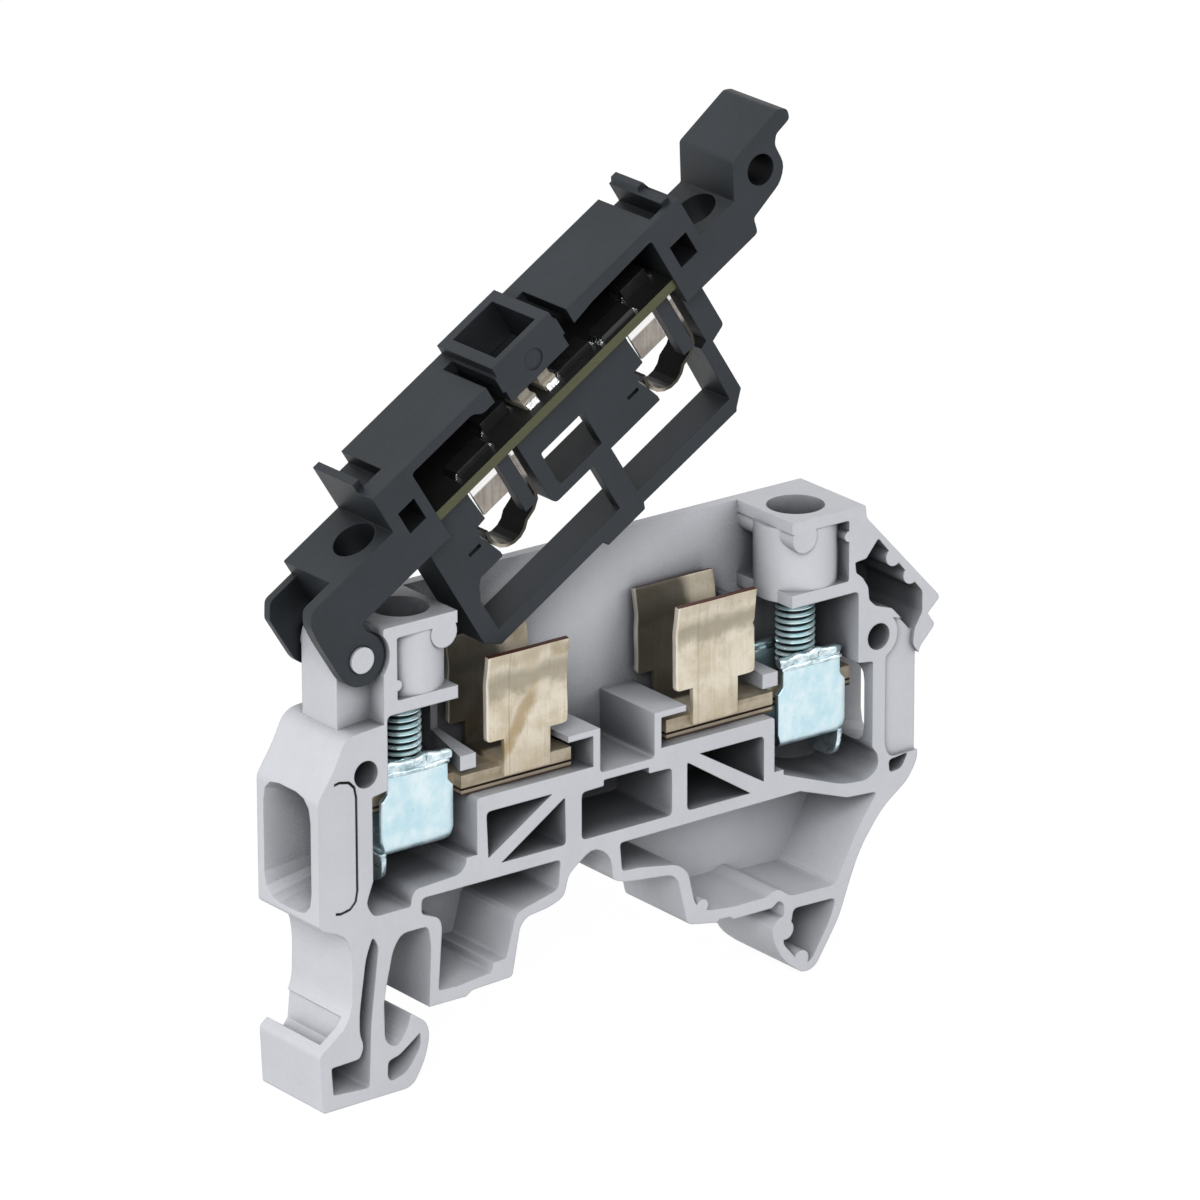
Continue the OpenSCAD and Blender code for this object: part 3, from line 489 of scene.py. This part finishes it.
def makeScrew(side, s):
    low, high = (Vector(c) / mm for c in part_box("clamp_screw_" + side))
    x, y = (low.x + high.x) / 2, (low.y + high.y) / 2
    headZ = high.z - s["headHeight"]
    count, form = s["around"], s["form"]
    turns = math.ceil((headZ - low.z) / s["pitch"]) + 1
    points, faces = [], []
    rows = [(k - 1 + share, s["crest"] if top else s["root"]) for k in range(turns + 1) for share, top in form]
    for turn, radius in rows:
        for i in range(count):
            z = min(max(low.z + s["pitch"] * (turn + i / count), low.z), headZ)
            reach = radius * min(1.0, s["tip"] + (z - low.z) * s["tipRise"])
            a = 2 * math.pi * i / count
            points.append((x + reach * math.cos(a), y + reach * math.sin(a), z))
    for r in range(len(rows) - 1):
        for i in range(count):
            if i < count - 1:
                faces.append((r * count + i, r * count + i + 1, (r + 1) * count + i + 1, (r + 1) * count + i))
            elif r + 1 + len(form) < len(rows):
                up = r + len(form)
                faces.append((r * count + i, up * count, (up + 1) * count, (r + 1) * count + i))
    shank = makePiece("screw_thread_" + side, points, faces, groovedThread(side, x, y, s), "screw_" + side,
                      "clamp_screw_" + side)
    finishPiece(shank)

    # the head: a disc under two half discs that leave the slot between them
    points, faces = [], []

    def prism(angles, z0, z1):
        start, n = len(points), len(angles)
        points.extend((x + radius * math.cos(a), y + radius * math.sin(a), z) for z in (z0, z1) for a in angles)
        faces.extend((start + k, start + (k + 1) % n, start + n + (k + 1) % n, start + n + k) for k in range(n))
        faces.append(tuple(range(start + n, start + 2 * n)))
        faces.append(tuple(reversed(range(start, start + n))))

    radius, floorZ = s["headRadius"], high.z - s["slotDeep"]
    prism([2 * math.pi * k / s["headSides"] for k in range(s["headSides"])], headZ, floorZ)
    half, steps = math.asin(s["slotWide"] / 2 / radius), s["slotSteps"]
    for sign in (1, -1):
        prism([sign * (half + (math.pi - 2 * half) * k / steps) for k in range(steps + 1)], floorZ, high.z)
    head = makePiece("screw_head_" + side, points, faces, blueZinc, "screw_" + side)
    finishPiece(head, bevel=s["edge"])


for side in ("left", "right"):
    makeScrew(side, clampScrew)
print("screws made")

# Clamp cages: a strip folded round the wire, its ends pressed together over the top
clampCage = {
    "tall": 7.1,
    "strip": 0.5,
    "stripPlay": 0.02,  # how much thinner than the CAD's strip the walls are, and the tongue
    "lipPlay": 0.06,
    "bend": 0.65,  # middle of the strip round the lower bends
    "bendSteps": 6,
    "wallSteps": 22,
    "columns": 13,
    "plateHalf": 3.05,
    "cornerTall": 0.9,
    "cornerCut": 0.35,
    "waistHalf": 2.6,
    "waistZ": (15.6, 16.1),
    "plateTop": 17.9,
    "foldHalf": 2.7,
    "foldAround": 16,
    "foldStations": 44,
    "lumps": 0.07,
    # how uneven the fold is along its length, how it thins towards its tips, and how boxy its outline is
    "uneven": {"slow": 0.6, "fast": 0.4, "faster": 2.3, "tall": 0.16, "deep": 0.2, "deepWaves": 1.7, "phase": 6.28},
    "tip": {"share": 0.5, "fade": 16, "start": 0.2, "boxy": 0.8},
    # middle height, half height, half depth, how proud of the wall, waves along it, and whether it has the ear
    "ridges": ((18.02, 0.42, 0.3, 0.05, 9.0, True), (17.45, 0.2, 0.16, 0.18, 7.0, False)),
    "ear": {"long": 0.1, "out": 0.22, "down": 0.1, "more": 0.1},
    "lipTop": 11.7,
    "lipEnd": 9.45,
    "lipHalf": (1.75, 1.1),
    "lipRound": (0.75, 9),  # from this share of its length on, and how fast
    "lipInset": 0.02,
    "lipCurl": 0.2,
    "lipGrid": (12, 11),
    "edge": 0.1,
    "seed": {"left": 4, "right": 9},
}


def cageStrip(side, s, x, y0, y1, z0):
    # both walls, each bent up from the middle of the floor
    def route(y, middle):
        turn = 1 if middle > y else -1
        angles = [math.pi / 2 * k / s["bendSteps"] for k in range(s["bendSteps"] + 1)]
        return [(y + turn * s["bend"] * (1 - math.sin(a)), z0 + s["bend"] * (1 - math.cos(a))) for a in angles]

    def halfWidth(z):
        low, high = s["waistZ"]
        if z < z0 + s["cornerTall"]:
            return s["plateHalf"] - s["cornerCut"] * max(0.0, 1 - (z - z0) / s["cornerTall"])
        if z < low:
            return s["plateHalf"]
        t = min((z - low) / (high - low), 1)
        return s["plateHalf"] + (s["waistHalf"] - s["plateHalf"]) * t * t * (3 - 2 * t)

    points, faces, columns, rise = [], [], s["columns"], s["plateTop"] - z0 - s["bend"]
    for y, middle in ((y0, y1), (y1, y0)):
        path = [((y0 + y1) / 2, z0)] + route(y, middle)
        path += [(y, z0 + s["bend"] + rise * k / s["wallSteps"]) for k in range(1, s["wallSteps"] + 1)]
        start = len(points)
        for py, pz in path:
            w = halfWidth(pz)
            points.extend((x + w * (2 * c / (columns - 1) - 1), py, pz) for c in range(columns))
        faces += gridFaces(len(path), columns, start)
    strip = makePiece("cage_strip_" + side, points, faces, blueZinc, "cage_" + side,
                      "clamp_cage_" + side)
    finishPiece(strip, thickness=s["strip"] - s["stripPlay"], bevel=s["edge"])


def cageFold(side, s, x, y0, y1, out):
    # the fold: a pressed, lumpy double edge on both sides, with an ear at the inner end
    chance = random.Random(s["seed"][side])
    ear, uneven, tip, around, stations = s["ear"], s["uneven"], s["tip"], s["foldAround"], s["foldStations"]
    points, faces = [], []
    ridges = [(y, sign, ridge) for y, sign in ((y0, -1), (y1, 1)) for ridge in s["ridges"]]
    for y, sign, (ridgeZ, tallMm, deepMm, proud, waves, eared) in ridges:
        start = len(points)
        phase = [uneven["phase"] * chance.random() for k in range(3)]
        for k in range(stations):
            t = k / (stations - 1)
            inner = math.exp(-((t if out > 0 else 1 - t) / ear["long"]) ** 2) if eared else 0.0
            px = x + s["foldHalf"] * (2 * t - 1) - out * ear["out"] * inner
            lump = uneven["slow"] * math.sin(waves * t + phase[0])
            lump += uneven["fast"] * math.sin(uneven["faster"] * waves * t + phase[1])
            swell = 1 + uneven["deep"] * math.sin(uneven["deepWaves"] * waves * t + phase[2])
            full = 1 - math.exp(-tip["fade"] * min(t, 1 - t) - tip["start"])
            full = 1 - tip["share"] + tip["share"] * full
            mid = ridgeZ + s["lumps"] * lump - ear["down"] * inner
            tall = tallMm * (1 + uneven["tall"] * lump) * full + ear["more"] * inner
            deep = deepMm * swell * full + ear["more"] * inner
            for a in range(around):
                angle = 2 * math.pi * a / around
                cy, cz = (math.copysign(abs(v) ** tip["boxy"], v) for v in (math.cos(angle), math.sin(angle)))
                points.append((px, y + sign * proud + deep * cy, mid + tall * cz))
        for k in range(stations - 1):
            for a in range(around):
                b = (a + 1) % around
                faces.append((start + k * around + a, start + k * around + b,
                              start + (k + 1) * around + b, start + (k + 1) * around + a))
        faces.append(tuple(start + a for a in reversed(range(around))))
        faces.append(tuple(start + (stations - 1) * around + a for a in range(around)))
    fold = makePiece("cage_fold_" + side, points, faces, foldedZinc, "cage_" + side)
    finishPiece(fold)


def cageTongue(side, s, x, middle, out):
    # the tongue that guides the wire in, rounded and curled at its end
    points, (rows, columns) = [], s["lipGrid"]
    wide, narrow = s["lipHalf"]
    roundFrom, roundFast = s["lipRound"]
    for r in range(rows):
        t = r / (rows - 1)
        z = s["lipTop"] + (s["lipEnd"] - s["lipTop"]) * t
        w = wide + (narrow - wide) * t ** 3
        w *= math.sqrt(max(0.0, 1 - max(0.0, t - roundFrom) ** 2 * roundFast))
        px = x + out * (s["plateHalf"] - s["strip"] / 2 - s["lipInset"] - s["lipCurl"] * t * t)
        points.extend((px, middle + w * (2 * c / (columns - 1) - 1), z) for c in range(columns))
    lip = makePiece("cage_tongue_" + side, points, gridFaces(rows, columns), foldedZinc, "cage_" + side)
    finishPiece(lip, thickness=s["strip"] - s["lipPlay"], bevel=s["edge"])


def makeCage(side, s):
    low, high = (Vector(c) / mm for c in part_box("clamp_cage_" + side))
    x, out = (low.x + high.x) / 2, (-1 if side == "left" else 1)
    half = s["strip"] / 2
    y0, y1 = low.y + half, high.y - half
    cageStrip(side, s, x, y0, y1, high.z - s["tall"] + half)
    cageFold(side, s, x, y0, y1, out)
    cageTongue(side, s, x, (y0 + y1) / 2, out)


for side in ("left", "right"):
    makeCage(side, clampCage)
print("cages folded")

# Fork contacts: two springing leaves on a foot that straddles the bar
forkContact = {
    "middle": {"left": -4.8, "right": 11.8},
    "y": 3.1,
    "leafOff": 2.275,
    "columns": (-3.5, -3.3, -2.8, -2.0, -1.2, -0.4, 0.4, 1.2, 2.0, 2.8, 3.3, 3.5),
    "rows": 46,
    "leafHalf": 3.5,
    "stemHalf": 2.0,
    "leaf": 0.4,
    "footZ": 15.4,
    "shoulderZ": 18.2,
    "shoulderRow": 0.08,
    "cornerRadius": 0.3,
    "topZ": 24.58,
    "plateZ": 16.3,
    "plateRows": 9,
    "bow": ((15.4, 0), (18.0, 0), (20.2, 0.03), (21.6, 0), (22.5, 0.03), (23.5, -0.1), (24.6, -0.3)),
    "bowSteps": 8,
    "edge": 0.05,
    "edgeBeyond": 3.4,  # how far from the middle a point counts as one of the leaf's upright edge
    # height and waves per mm, the ripple's along height and width, and then along width alone
    "edgeWave": (0.018, 1.7),
    "ripple": ((0.015, 2.1, 1.3), (0.012, 1.1)),
    "nibble": {"z": 21.9, "deep": 0.16, "tall": 0.16},
}

# Tinned brass: upright rolling lines, a grey band where the leaf bends and a brown smear; painted shade
# makes the far leaf dark but for its outer corner, which is left lit as painted light, a painted highlight
# runs up the leaf's edge that faces -X, a thin line of painted shade marks a creased line, and the cut top
# edges are bare brown.
# The ranges are heights in mm, or places along the leaf from its middle.
leafLook = {
    "lines": (1.0, 4, 0.65, 5.0, (5, 1, 0.12)),
    "cloud": (0.45, 4, 0.6, 2.5),
    "fine": (5.0, 3, 0.6, 7.0),
    "tin": ((0.7, 0.64, 0.53), (0.55, 0.48, 0.36)),
    "tinRange": (0.38, 0.66),
    "darkLine": ((0.33, 0.27, 0.17), 0.35),
    "darkLineRange": (0.54, 0.74),
    "lightLine": ((0.78, 0.71, 0.58), 0.4),
    "lightLineRange": (0.46, 0.3),
    "band": ((0.3, 0.265, 0.2), 0.8),
    "bandLow": (21.0, 22.0),
    "bandHigh": (23.6, 22.5),
    "bandDrift": 2.4,
    "smear": ((0.34, 0.24, 0.115), 0.75),
    "smearMiddle": 20.2,
    "smearSlope": 1.5,
    "smearDrift": 3.0,
    "smearWide": (2.4, 0.0),
    "smearAlong": (1.6, 0.4),
    "smearTop": (22.8, 20.6),
    "blot": ((0.27, 0.2, 0.11), 0.5),
    "blotLow": (22.2, 23.4),
    "blotAlong": (1.0, 2.4),
    "blotCloud": (0.35, 0.6),
    # painted shade of a creased line
    "creaseShade": ((0.2, 0.15, 0.09), 0.35),
    "creaseAlong": -1.55,
    "creaseWide": (0.004, 0.0),
    "fleck": ((0.2, 0.15, 0.09), 0.3),
    "fleckRange": (0.6, 0.74),
    "foot": ((0.33, 0.25, 0.15), 0.35),
    "footRange": (18.2, 15.8),
    "footDrift": 2,
    "top": ((0.36, 0.3, 0.2), 0.35),
    "topRange": (23.2, 24.4),
    "topDrift": 1.5,
    # painted shade on the far leaf, whose outer corner is left lit as painted light
    "far": ((0.03, 0.027, 0.02), 0.92),
    "farFrom": (2.9, 3.6),
    "cornerFrom": 24.5,
    "cornerSlope": 0.25,
    "cornerDrift": 1.2,
    "cornerAlong": (0.2, 1.4),
    "cornerHeight": (20.0, 22.4),
    "cornerLit": 0.62,
    # painted highlight along the edge that faces -X
    "rim": ((0.8, 0.74, 0.64), 0.7),
    "rimAlong": (-3.2, -3.45),
    "rimFar": 0.15,
    "cut": (0.075, 0.022, 0.014),
    "cutUpward": (0.5, 0.8),
    "cutHeight": (20, 22),
    "rough": 0.4,
    "linesRough": 0.2,
    "bandRough": 0.1,
    "linesDepth": 0.015,
    "cloudDepth": 0.05,
    "edge": 0.04,
}


def tinnedLeaf(side, middle, look):
    f = Finish("tinned_leaf_" + side, Metallic=0.5, Specular_IOR_Level=0.4)
    height, across, along = f.axis((0, 0, 1)), f.axis((0, 1, 0)), f.axis((1, 0, 0)) - middle
    lines, cloud, fine = (f.noise(*look[key]) for key in ("lines", "cloud", "fine"))
    colour = f.blend(f.ramp(cloud, *look["tinRange"]), *look["tin"])
    colour = f.tint(colour, f.ramp(lines, *look["darkLineRange"]), look["darkLine"])
    colour = f.tint(colour, f.ramp(lines, *look["lightLineRange"]), look["lightLine"])
    wander = height + cloud.sway(look["bandDrift"])
    band = f.ramp(wander, *look["bandLow"]) * f.ramp(wander, *look["bandHigh"])
    colour = f.tint(colour, band, look["band"])
    if side == "left":
        slant = height - look["smearMiddle"] - along * look["smearSlope"] + cloud.sway(look["smearDrift"])
        smear = f.ramp(slant * slant, *look["smearWide"]) * f.ramp(along, *look["smearAlong"])
        colour = f.tint(colour, smear * f.ramp(height, *look["smearTop"]), look["smear"])
        blot = f.ramp(height, *look["blotLow"]) * f.ramp(along, *look["blotAlong"])
        colour = f.tint(colour, blot * f.ramp(cloud, *look["blotCloud"]), look["blot"])
    # painted shade: a thin darker line up the leaf where it is creased
    fromCrease = along - look["creaseAlong"]
    colour = f.tint(colour, f.ramp(fromCrease * fromCrease, *look["creaseWide"]), look["creaseShade"])
    colour = f.tint(colour, f.ramp(fine, *look["fleckRange"]), look["fleck"])
    # darker towards the foot and towards the top
    for end in ("foot", "top"):
        stain = f.ramp(height + cloud.sway(look[end + "Drift"]), *look[end + "Range"])
        colour = f.tint(colour, stain, look[end])
    # painted shade: the far leaf dark, its upper outer corner left lit as painted light
    far = f.ramp(across, *look["farFrom"])
    corner = along + (height - look["cornerFrom"]) * look["cornerSlope"] + cloud.sway(look["cornerDrift"])
    lit = f.ramp(corner, *look["cornerAlong"]) * f.ramp(height, *look["cornerHeight"])
    colour = f.tint(colour, far * (1 - lit * look["cornerLit"]), look["far"])
    # painted highlight along the leaf's edge that faces -X
    colour = f.tint(colour, f.ramp(along + far * look["rimFar"], *look["rimAlong"]), look["rim"])
    upward = f.axis((0, 0, 1), "Normal")
    cut = f.ramp(upward, *look["cutUpward"]) * f.ramp(height, *look["cutHeight"])
    colour = f.blend(cut, colour, look["cut"])
    rough = look["rough"] + lines.sway(look["linesRough"]) + band * look["bandRough"]
    normal = f.bump(lines, look["linesDepth"], f.roundEdge(look["edge"]))
    normal = f.bump(cloud, look["cloudDepth"], normal)
    return f.feed(Base_Color=colour, Roughness=rough, Normal=normal)


def makeFork(side, s):
    middle, shoulder, radius, nibble = s["middle"][side], s["shoulderZ"], s["cornerRadius"], s["nibble"]
    path = curveThrough(s["bow"], s["bowSteps"])
    rise, last = s["topZ"] - s["footZ"], s["rows"] - 1
    heights = sorted([s["footZ"] + rise * k / last for k in range(s["rows"])]
                     + [shoulder, shoulder + s["shoulderRow"]])
    (tallRipple, perHeight, perWidth), (wideRipple, alongWidth) = s["ripple"]
    waveOut, wavesUp = s["edgeWave"]

    def bowAt(z):
        for a, b in zip(path, path[1:]):
            if z <= b.x:
                return a.y + (b.y - a.y) * (z - a.x) / max(b.x - a.x, 1e-6)
        return path[-1].y

    points, faces, count = [], [], len(s["columns"])
    for sign in (-1, 1):
        start = len(points)
        for z in heights:
            # the leaf's lower corners are rounded over the shoulder
            corner = radius - math.sqrt(max(0.0, radius ** 2 - max(0.0, radius - (z - shoulder)) ** 2))
            corner = corner if z >= shoulder else 0.0
            for c in s["columns"]:
                px = math.copysign(min(abs(c), s["leafHalf"] - corner), c)
                if c > s["edgeBeyond"] and sign < 0 and side == "right":
                    px -= nibble["deep"] * math.exp(-((z - nibble["z"]) / nibble["tall"]) ** 2)
                ripple = tallRipple * math.sin(perHeight * z + perWidth * c)
                ripple += wideRipple * math.sin(alongWidth * c * sign)
                wave = waveOut * math.sin(wavesUp * z) if abs(c) > s["edgeBeyond"] else 0.0
                points.append((middle + px + wave, s["y"] + sign * (s["leafOff"] - bowAt(z) + ripple), z))
        # below the shoulder only the stem between the inner columns is kept
        inside = [abs(c) <= s["stemHalf"] for c in s["columns"]]
        faces += gridFaces(len(heights), count, start,
                           lambda r, c: heights[r] >= shoulder or (inside[c] and inside[c + 1]))
    start, across = len(points), s["plateRows"]
    for k in range(across):
        py = s["y"] + s["leafOff"] * (2 * k / (across - 1) - 1)
        points.extend((middle + c, py, s["plateZ"]) for c in (-s["stemHalf"], 0, s["stemHalf"]))
    faces += gridFaces(across, 3, start)
    fork = makePiece("fork_leaves_" + side, points, faces, tinnedLeaf(side, middle, leafLook), "block",
                     "fork_contact_" + side)
    finishPiece(fork, thickness=s["leaf"], bevel=s["edge"])


for side in ("left", "right"):
    makeFork(side, forkContact)
print("forks made")

# Tarnished bars: a tan face over a dark joint, a light strip and painted shade along the lower edge, by height in
# mm
barLook = {
    "cloud": (0.6, 4, 0.65, 2.0),
    "streak": (1.6, 4, 0.6, 5.0, (0.12, 1, 1)),
    "fine": (6.0, 2, 0.6, 3.0),
    "stainShares": (0.6, 0.4),
    "stainRange": (0.36, 0.66),
    "face": ((0.46, 0.405, 0.31), (0.3, 0.25, 0.175)),
    "fleck": ((0.15, 0.1, 0.05), 0.4),
    "fleckRange": (0.6, 0.72),
    "joint": (0.03, 0.012, 0.01),
    "jointLow": (14.95, 15.0),
    "jointHigh": (15.2, 15.12),
    "strip": ((0.3, 0.26, 0.19), 0.8),
    "stripHigh": (14.97, 14.93),
    "stripLow": (14.76, 14.8),
    # painted shade along the lower edge
    "lowerEdgeShade": (0.06, 0.04, 0.03),
    "lowerEdgeFrom": (14.8, 14.74),
    "rough": 0.42,
    "streakRough": 0.2,
    "streakDepth": 0.012,
    "edge": 0.06,
}


def tarnishedBar(look):
    f = Finish("tarnished_bar_face", Metallic=0.45)
    height = f.axis((0, 0, 1))
    cloud, streak, fine = (f.noise(*look[key]) for key in ("cloud", "streak", "fine"))
    byCloud, byStreak = look["stainShares"]
    colour = f.blend(f.ramp(cloud * byCloud + streak * byStreak, *look["stainRange"]), *look["face"])
    colour = f.tint(colour, f.ramp(fine, *look["fleckRange"]), look["fleck"])
    joint = f.ramp(height, *look["jointLow"]) * f.ramp(height, *look["jointHigh"])
    colour = f.blend(joint, colour, look["joint"])
    strip = f.ramp(height, *look["stripHigh"]) * f.ramp(height, *look["stripLow"])
    colour = f.tint(colour, strip, look["strip"])
    # painted shade: dark along the lower edge
    colour = f.blend(f.ramp(height, *look["lowerEdgeFrom"]), colour, look["lowerEdgeShade"])
    return f.feed(Base_Color=colour, Roughness=look["rough"] + streak.sway(look["streakRough"]),
                  Normal=f.bump(streak, look["streakDepth"], f.roundEdge(look["edge"])))


# The pivot, seen along the lever and up from it, and the middles of the springs along it
pivotX, pivotZ = -19.17, 26.95
boardFrame = {
    "pivotAlong": pivotX * leverAlong.x + pivotZ * leverAlong.z,
    "pivotUp": pivotX * leverUp.x + pivotZ * leverUp.z,
    "springs": {"left": 14.97, "right": 31.12},
}

# Contact springs: a tab by the board painted bright as a highlight, and below it a bow painted near black
# as a dark reflection, but for painted highlights on its rim and inner lip.
# The ranges are mm up from the pivot, or along the lever from the spring's middle.
springLook = {
    "lines": (1.0, 3, 0.6, 4.0, (5, 5, 0.4)),
    "cloud": (0.9, 3, 0.6),
    "nickelShares": (0.5, 0.5),
    "nickelRange": (0.35, 0.65),
    "nickel": ((0.34, 0.31, 0.28), (0.2, 0.18, 0.165)),
    # painted highlight on the tab
    "glare": (0.95, 0.95, 0.95),
    "glareFrom": (2.35, 2.5),
    # painted dark reflection on the bow
    "bow": (0.002, 0.002, 0.002),
    "bowFrom": (0.55, 0.1),
    # painted highlights on the rim and the inner lip
    "rim": (0.5, 0.45, 0.37),
    "rimFacing": (0.6, 0.8),
    "rimShare": 0.12,
    "lipUp": (-1.6, -2.3),
    "lipAlong": (-0.5, -1.2),
    "lipShare": 0.6,
    "rough": 0.32,
    "linesRough": 0.2,
    "linesDepth": 0.01,
}


def nickelSpring(side, middle, look):
    f = Finish("nickel_spring_" + side, Metallic=0.85, Specular_IOR_Level=0.05)
    up = f.axis(leverUp) - boardFrame["pivotUp"]
    along = f.axis(leverAlong) - boardFrame["pivotAlong"] - middle
    lines, cloud = f.noise(*look["lines"]), f.noise(*look["cloud"])
    byLines, byCloud = look["nickelShares"]
    colour = f.blend(f.ramp(lines * byLines + cloud * byCloud, *look["nickelRange"]), *look["nickel"])
    # painted highlight: the tab bright near the board
    colour = f.blend(f.ramp(up, *look["glareFrom"]), colour, look["glare"])
    # painted dark reflection: the bow near black below the tab
    colour = f.blend(f.ramp(up, *look["bowFrom"]), colour, look["bow"])
    # painted highlights on the rim facing front and on the inner lip
    rim = f.ramp(f.axis((0, -1, 0), "Normal"), *look["rimFacing"])
    lip = f.ramp(up, *look["lipUp"]) * f.ramp(along, *look["lipAlong"])
    colour = f.blend(rim * look["rimShare"] + lip * look["lipShare"], colour, look["rim"])
    return f.feed(Base_Color=colour, Roughness=look["rough"] + lines.sway(look["linesRough"]),
                  Normal=f.bump(lines, look["linesDepth"]))


# Chip lamps: beige bodies, darker below
lampLook = {
    "cloud": (1.6, 3, 0.6),
    "body": ((0.3, 0.275, 0.22), (0.5, 0.46, 0.38)),
    "base": (0.2, 0.185, 0.14),
    "baseFrom": (4.75, 4.62),
    "rough": 0.3,
    "cloudRough": 0.2,
    "edge": 0.06,
}


def lampChip(look):
    f = Finish("beige_chip_lamp", Specular_IOR_Level=0.5)
    up = f.axis(leverUp) - boardFrame["pivotUp"]
    cloud = f.noise(*look["cloud"])
    colour = f.blend(f.ramp(up, *look["baseFrom"]), f.blend(cloud, *look["body"]), look["base"])
    return f.feed(Base_Color=colour, Roughness=look["rough"] + cloud.sway(look["cloudRough"]),
                  Normal=f.roundEdge(look["edge"]))


laterFinish = {"contact_spring_" + side: nickelSpring(side, u, springLook)
               for side, u in boardFrame["springs"].items()}
laterFinish.update({"busbar": tarnishedBar(barLook), "indicator_led": lampChip(lampLook)})
for name, node in nodes.items():
    for stem, finish in laterFinish.items():
        if name.startswith(stem):
            node.data.materials.clear()
            node.data.materials.append(finish)
print("springs, bars and lamps dressed")

# Plain studio: a pale floor under the feet, a white surround and three soft lamps aimed at the block
studio = {
    "floorDrop": 0.02,
    "floorWide": 6.0,  # in metres
    "shadow": 0.1,  # how much of the lit floor shows, the rest is plain white
    "white": 1.045,
    "pale": 0.9,
    "ambient": 0.55,  # how bright the surround is as a light
    "bounce": 0.35,  # how pale the floor is as a light
    "lamps": [
        # name, place in metres, size in metres and power in watts
        ("keyLamp", (-0.6, -0.64, 0.5), 0.5, 7.6),
        ("endLamp", (-0.9, 0.1, 0.2), 0.4, 2.2),
        ("fillLamp", (0.5, -0.8, 0.35), 0.5, 1.4),
    ],
    "aim": (5, 3, 20),
}


def rayMasks(finish):
    return [finish.node("LightPath", output="Is " + kind + " Ray") for kind in ("Camera", "Glossy", "Transmission")]


def makeStudio(s):
    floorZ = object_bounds()[0].z - s["floorDrop"] * mm
    half = s["floorWide"] / 2
    mesh = bpy.data.meshes.new("floor")
    mesh.from_pydata([(-half, -half, floorZ), (half, -half, floorZ), (half, half, floorZ), (-half, half, floorZ)],
                     [], [(0, 1, 2, 3)])
    floor = bpy.data.objects.new("floor", mesh)
    bpy.context.scene.collection.objects.link(floor)
    f = Finish("white_floor", Roughness=0.9, Specular_IOR_Level=0.1)
    diffuse = f.node("LightPath", output="Is Diffuse Ray")
    f.feed(Base_Color=f.blend(diffuse, (s["pale"],) * 3, (s["bounce"],) * 3))
    white = f.node("Emission", None, {"Color": (1, 1, 1), "Strength": s["white"]})
    seen, glossy, through = rayMasks(f)
    mask = (seen * (1 - s["shadow"]) + glossy + through).clamped()
    both = f.node("MixShader", None, {0: mask, 1: Wire(f, f.shader.outputs[0]), 2: white})
    f.plug(f.tree.nodes["Material Output"].inputs["Surface"], both)
    mesh.materials.append(f.material)
    floor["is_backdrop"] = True

    world = bpy.data.worlds.new("surround")
    bpy.context.scene.world = world
    world.use_nodes = True
    w = Finish("surround", world.node_tree)
    seen, glossy, through = rayMasks(w)
    plain = w.tree.nodes["Background"]
    w.plug(plain.inputs["Color"], (1, 1, 1))
    w.plug(plain.inputs["Strength"], (seen + glossy + through).clamped() * (1 - s["ambient"]) + s["ambient"])

    aim = Vector(s["aim"]) * mm
    for name, place, size, power in s["lamps"]:
        data = bpy.data.lights.new(name, "AREA")
        data.size, data.energy = size, power
        lamp = bpy.data.objects.new(name, data)
        bpy.context.scene.collection.objects.link(lamp)
        lamp.location = place
        lamp.rotation_euler = (aim - Vector(place)).to_track_quat("-Z", "Y").to_euler()


makeStudio(studio)
print("studio lit")
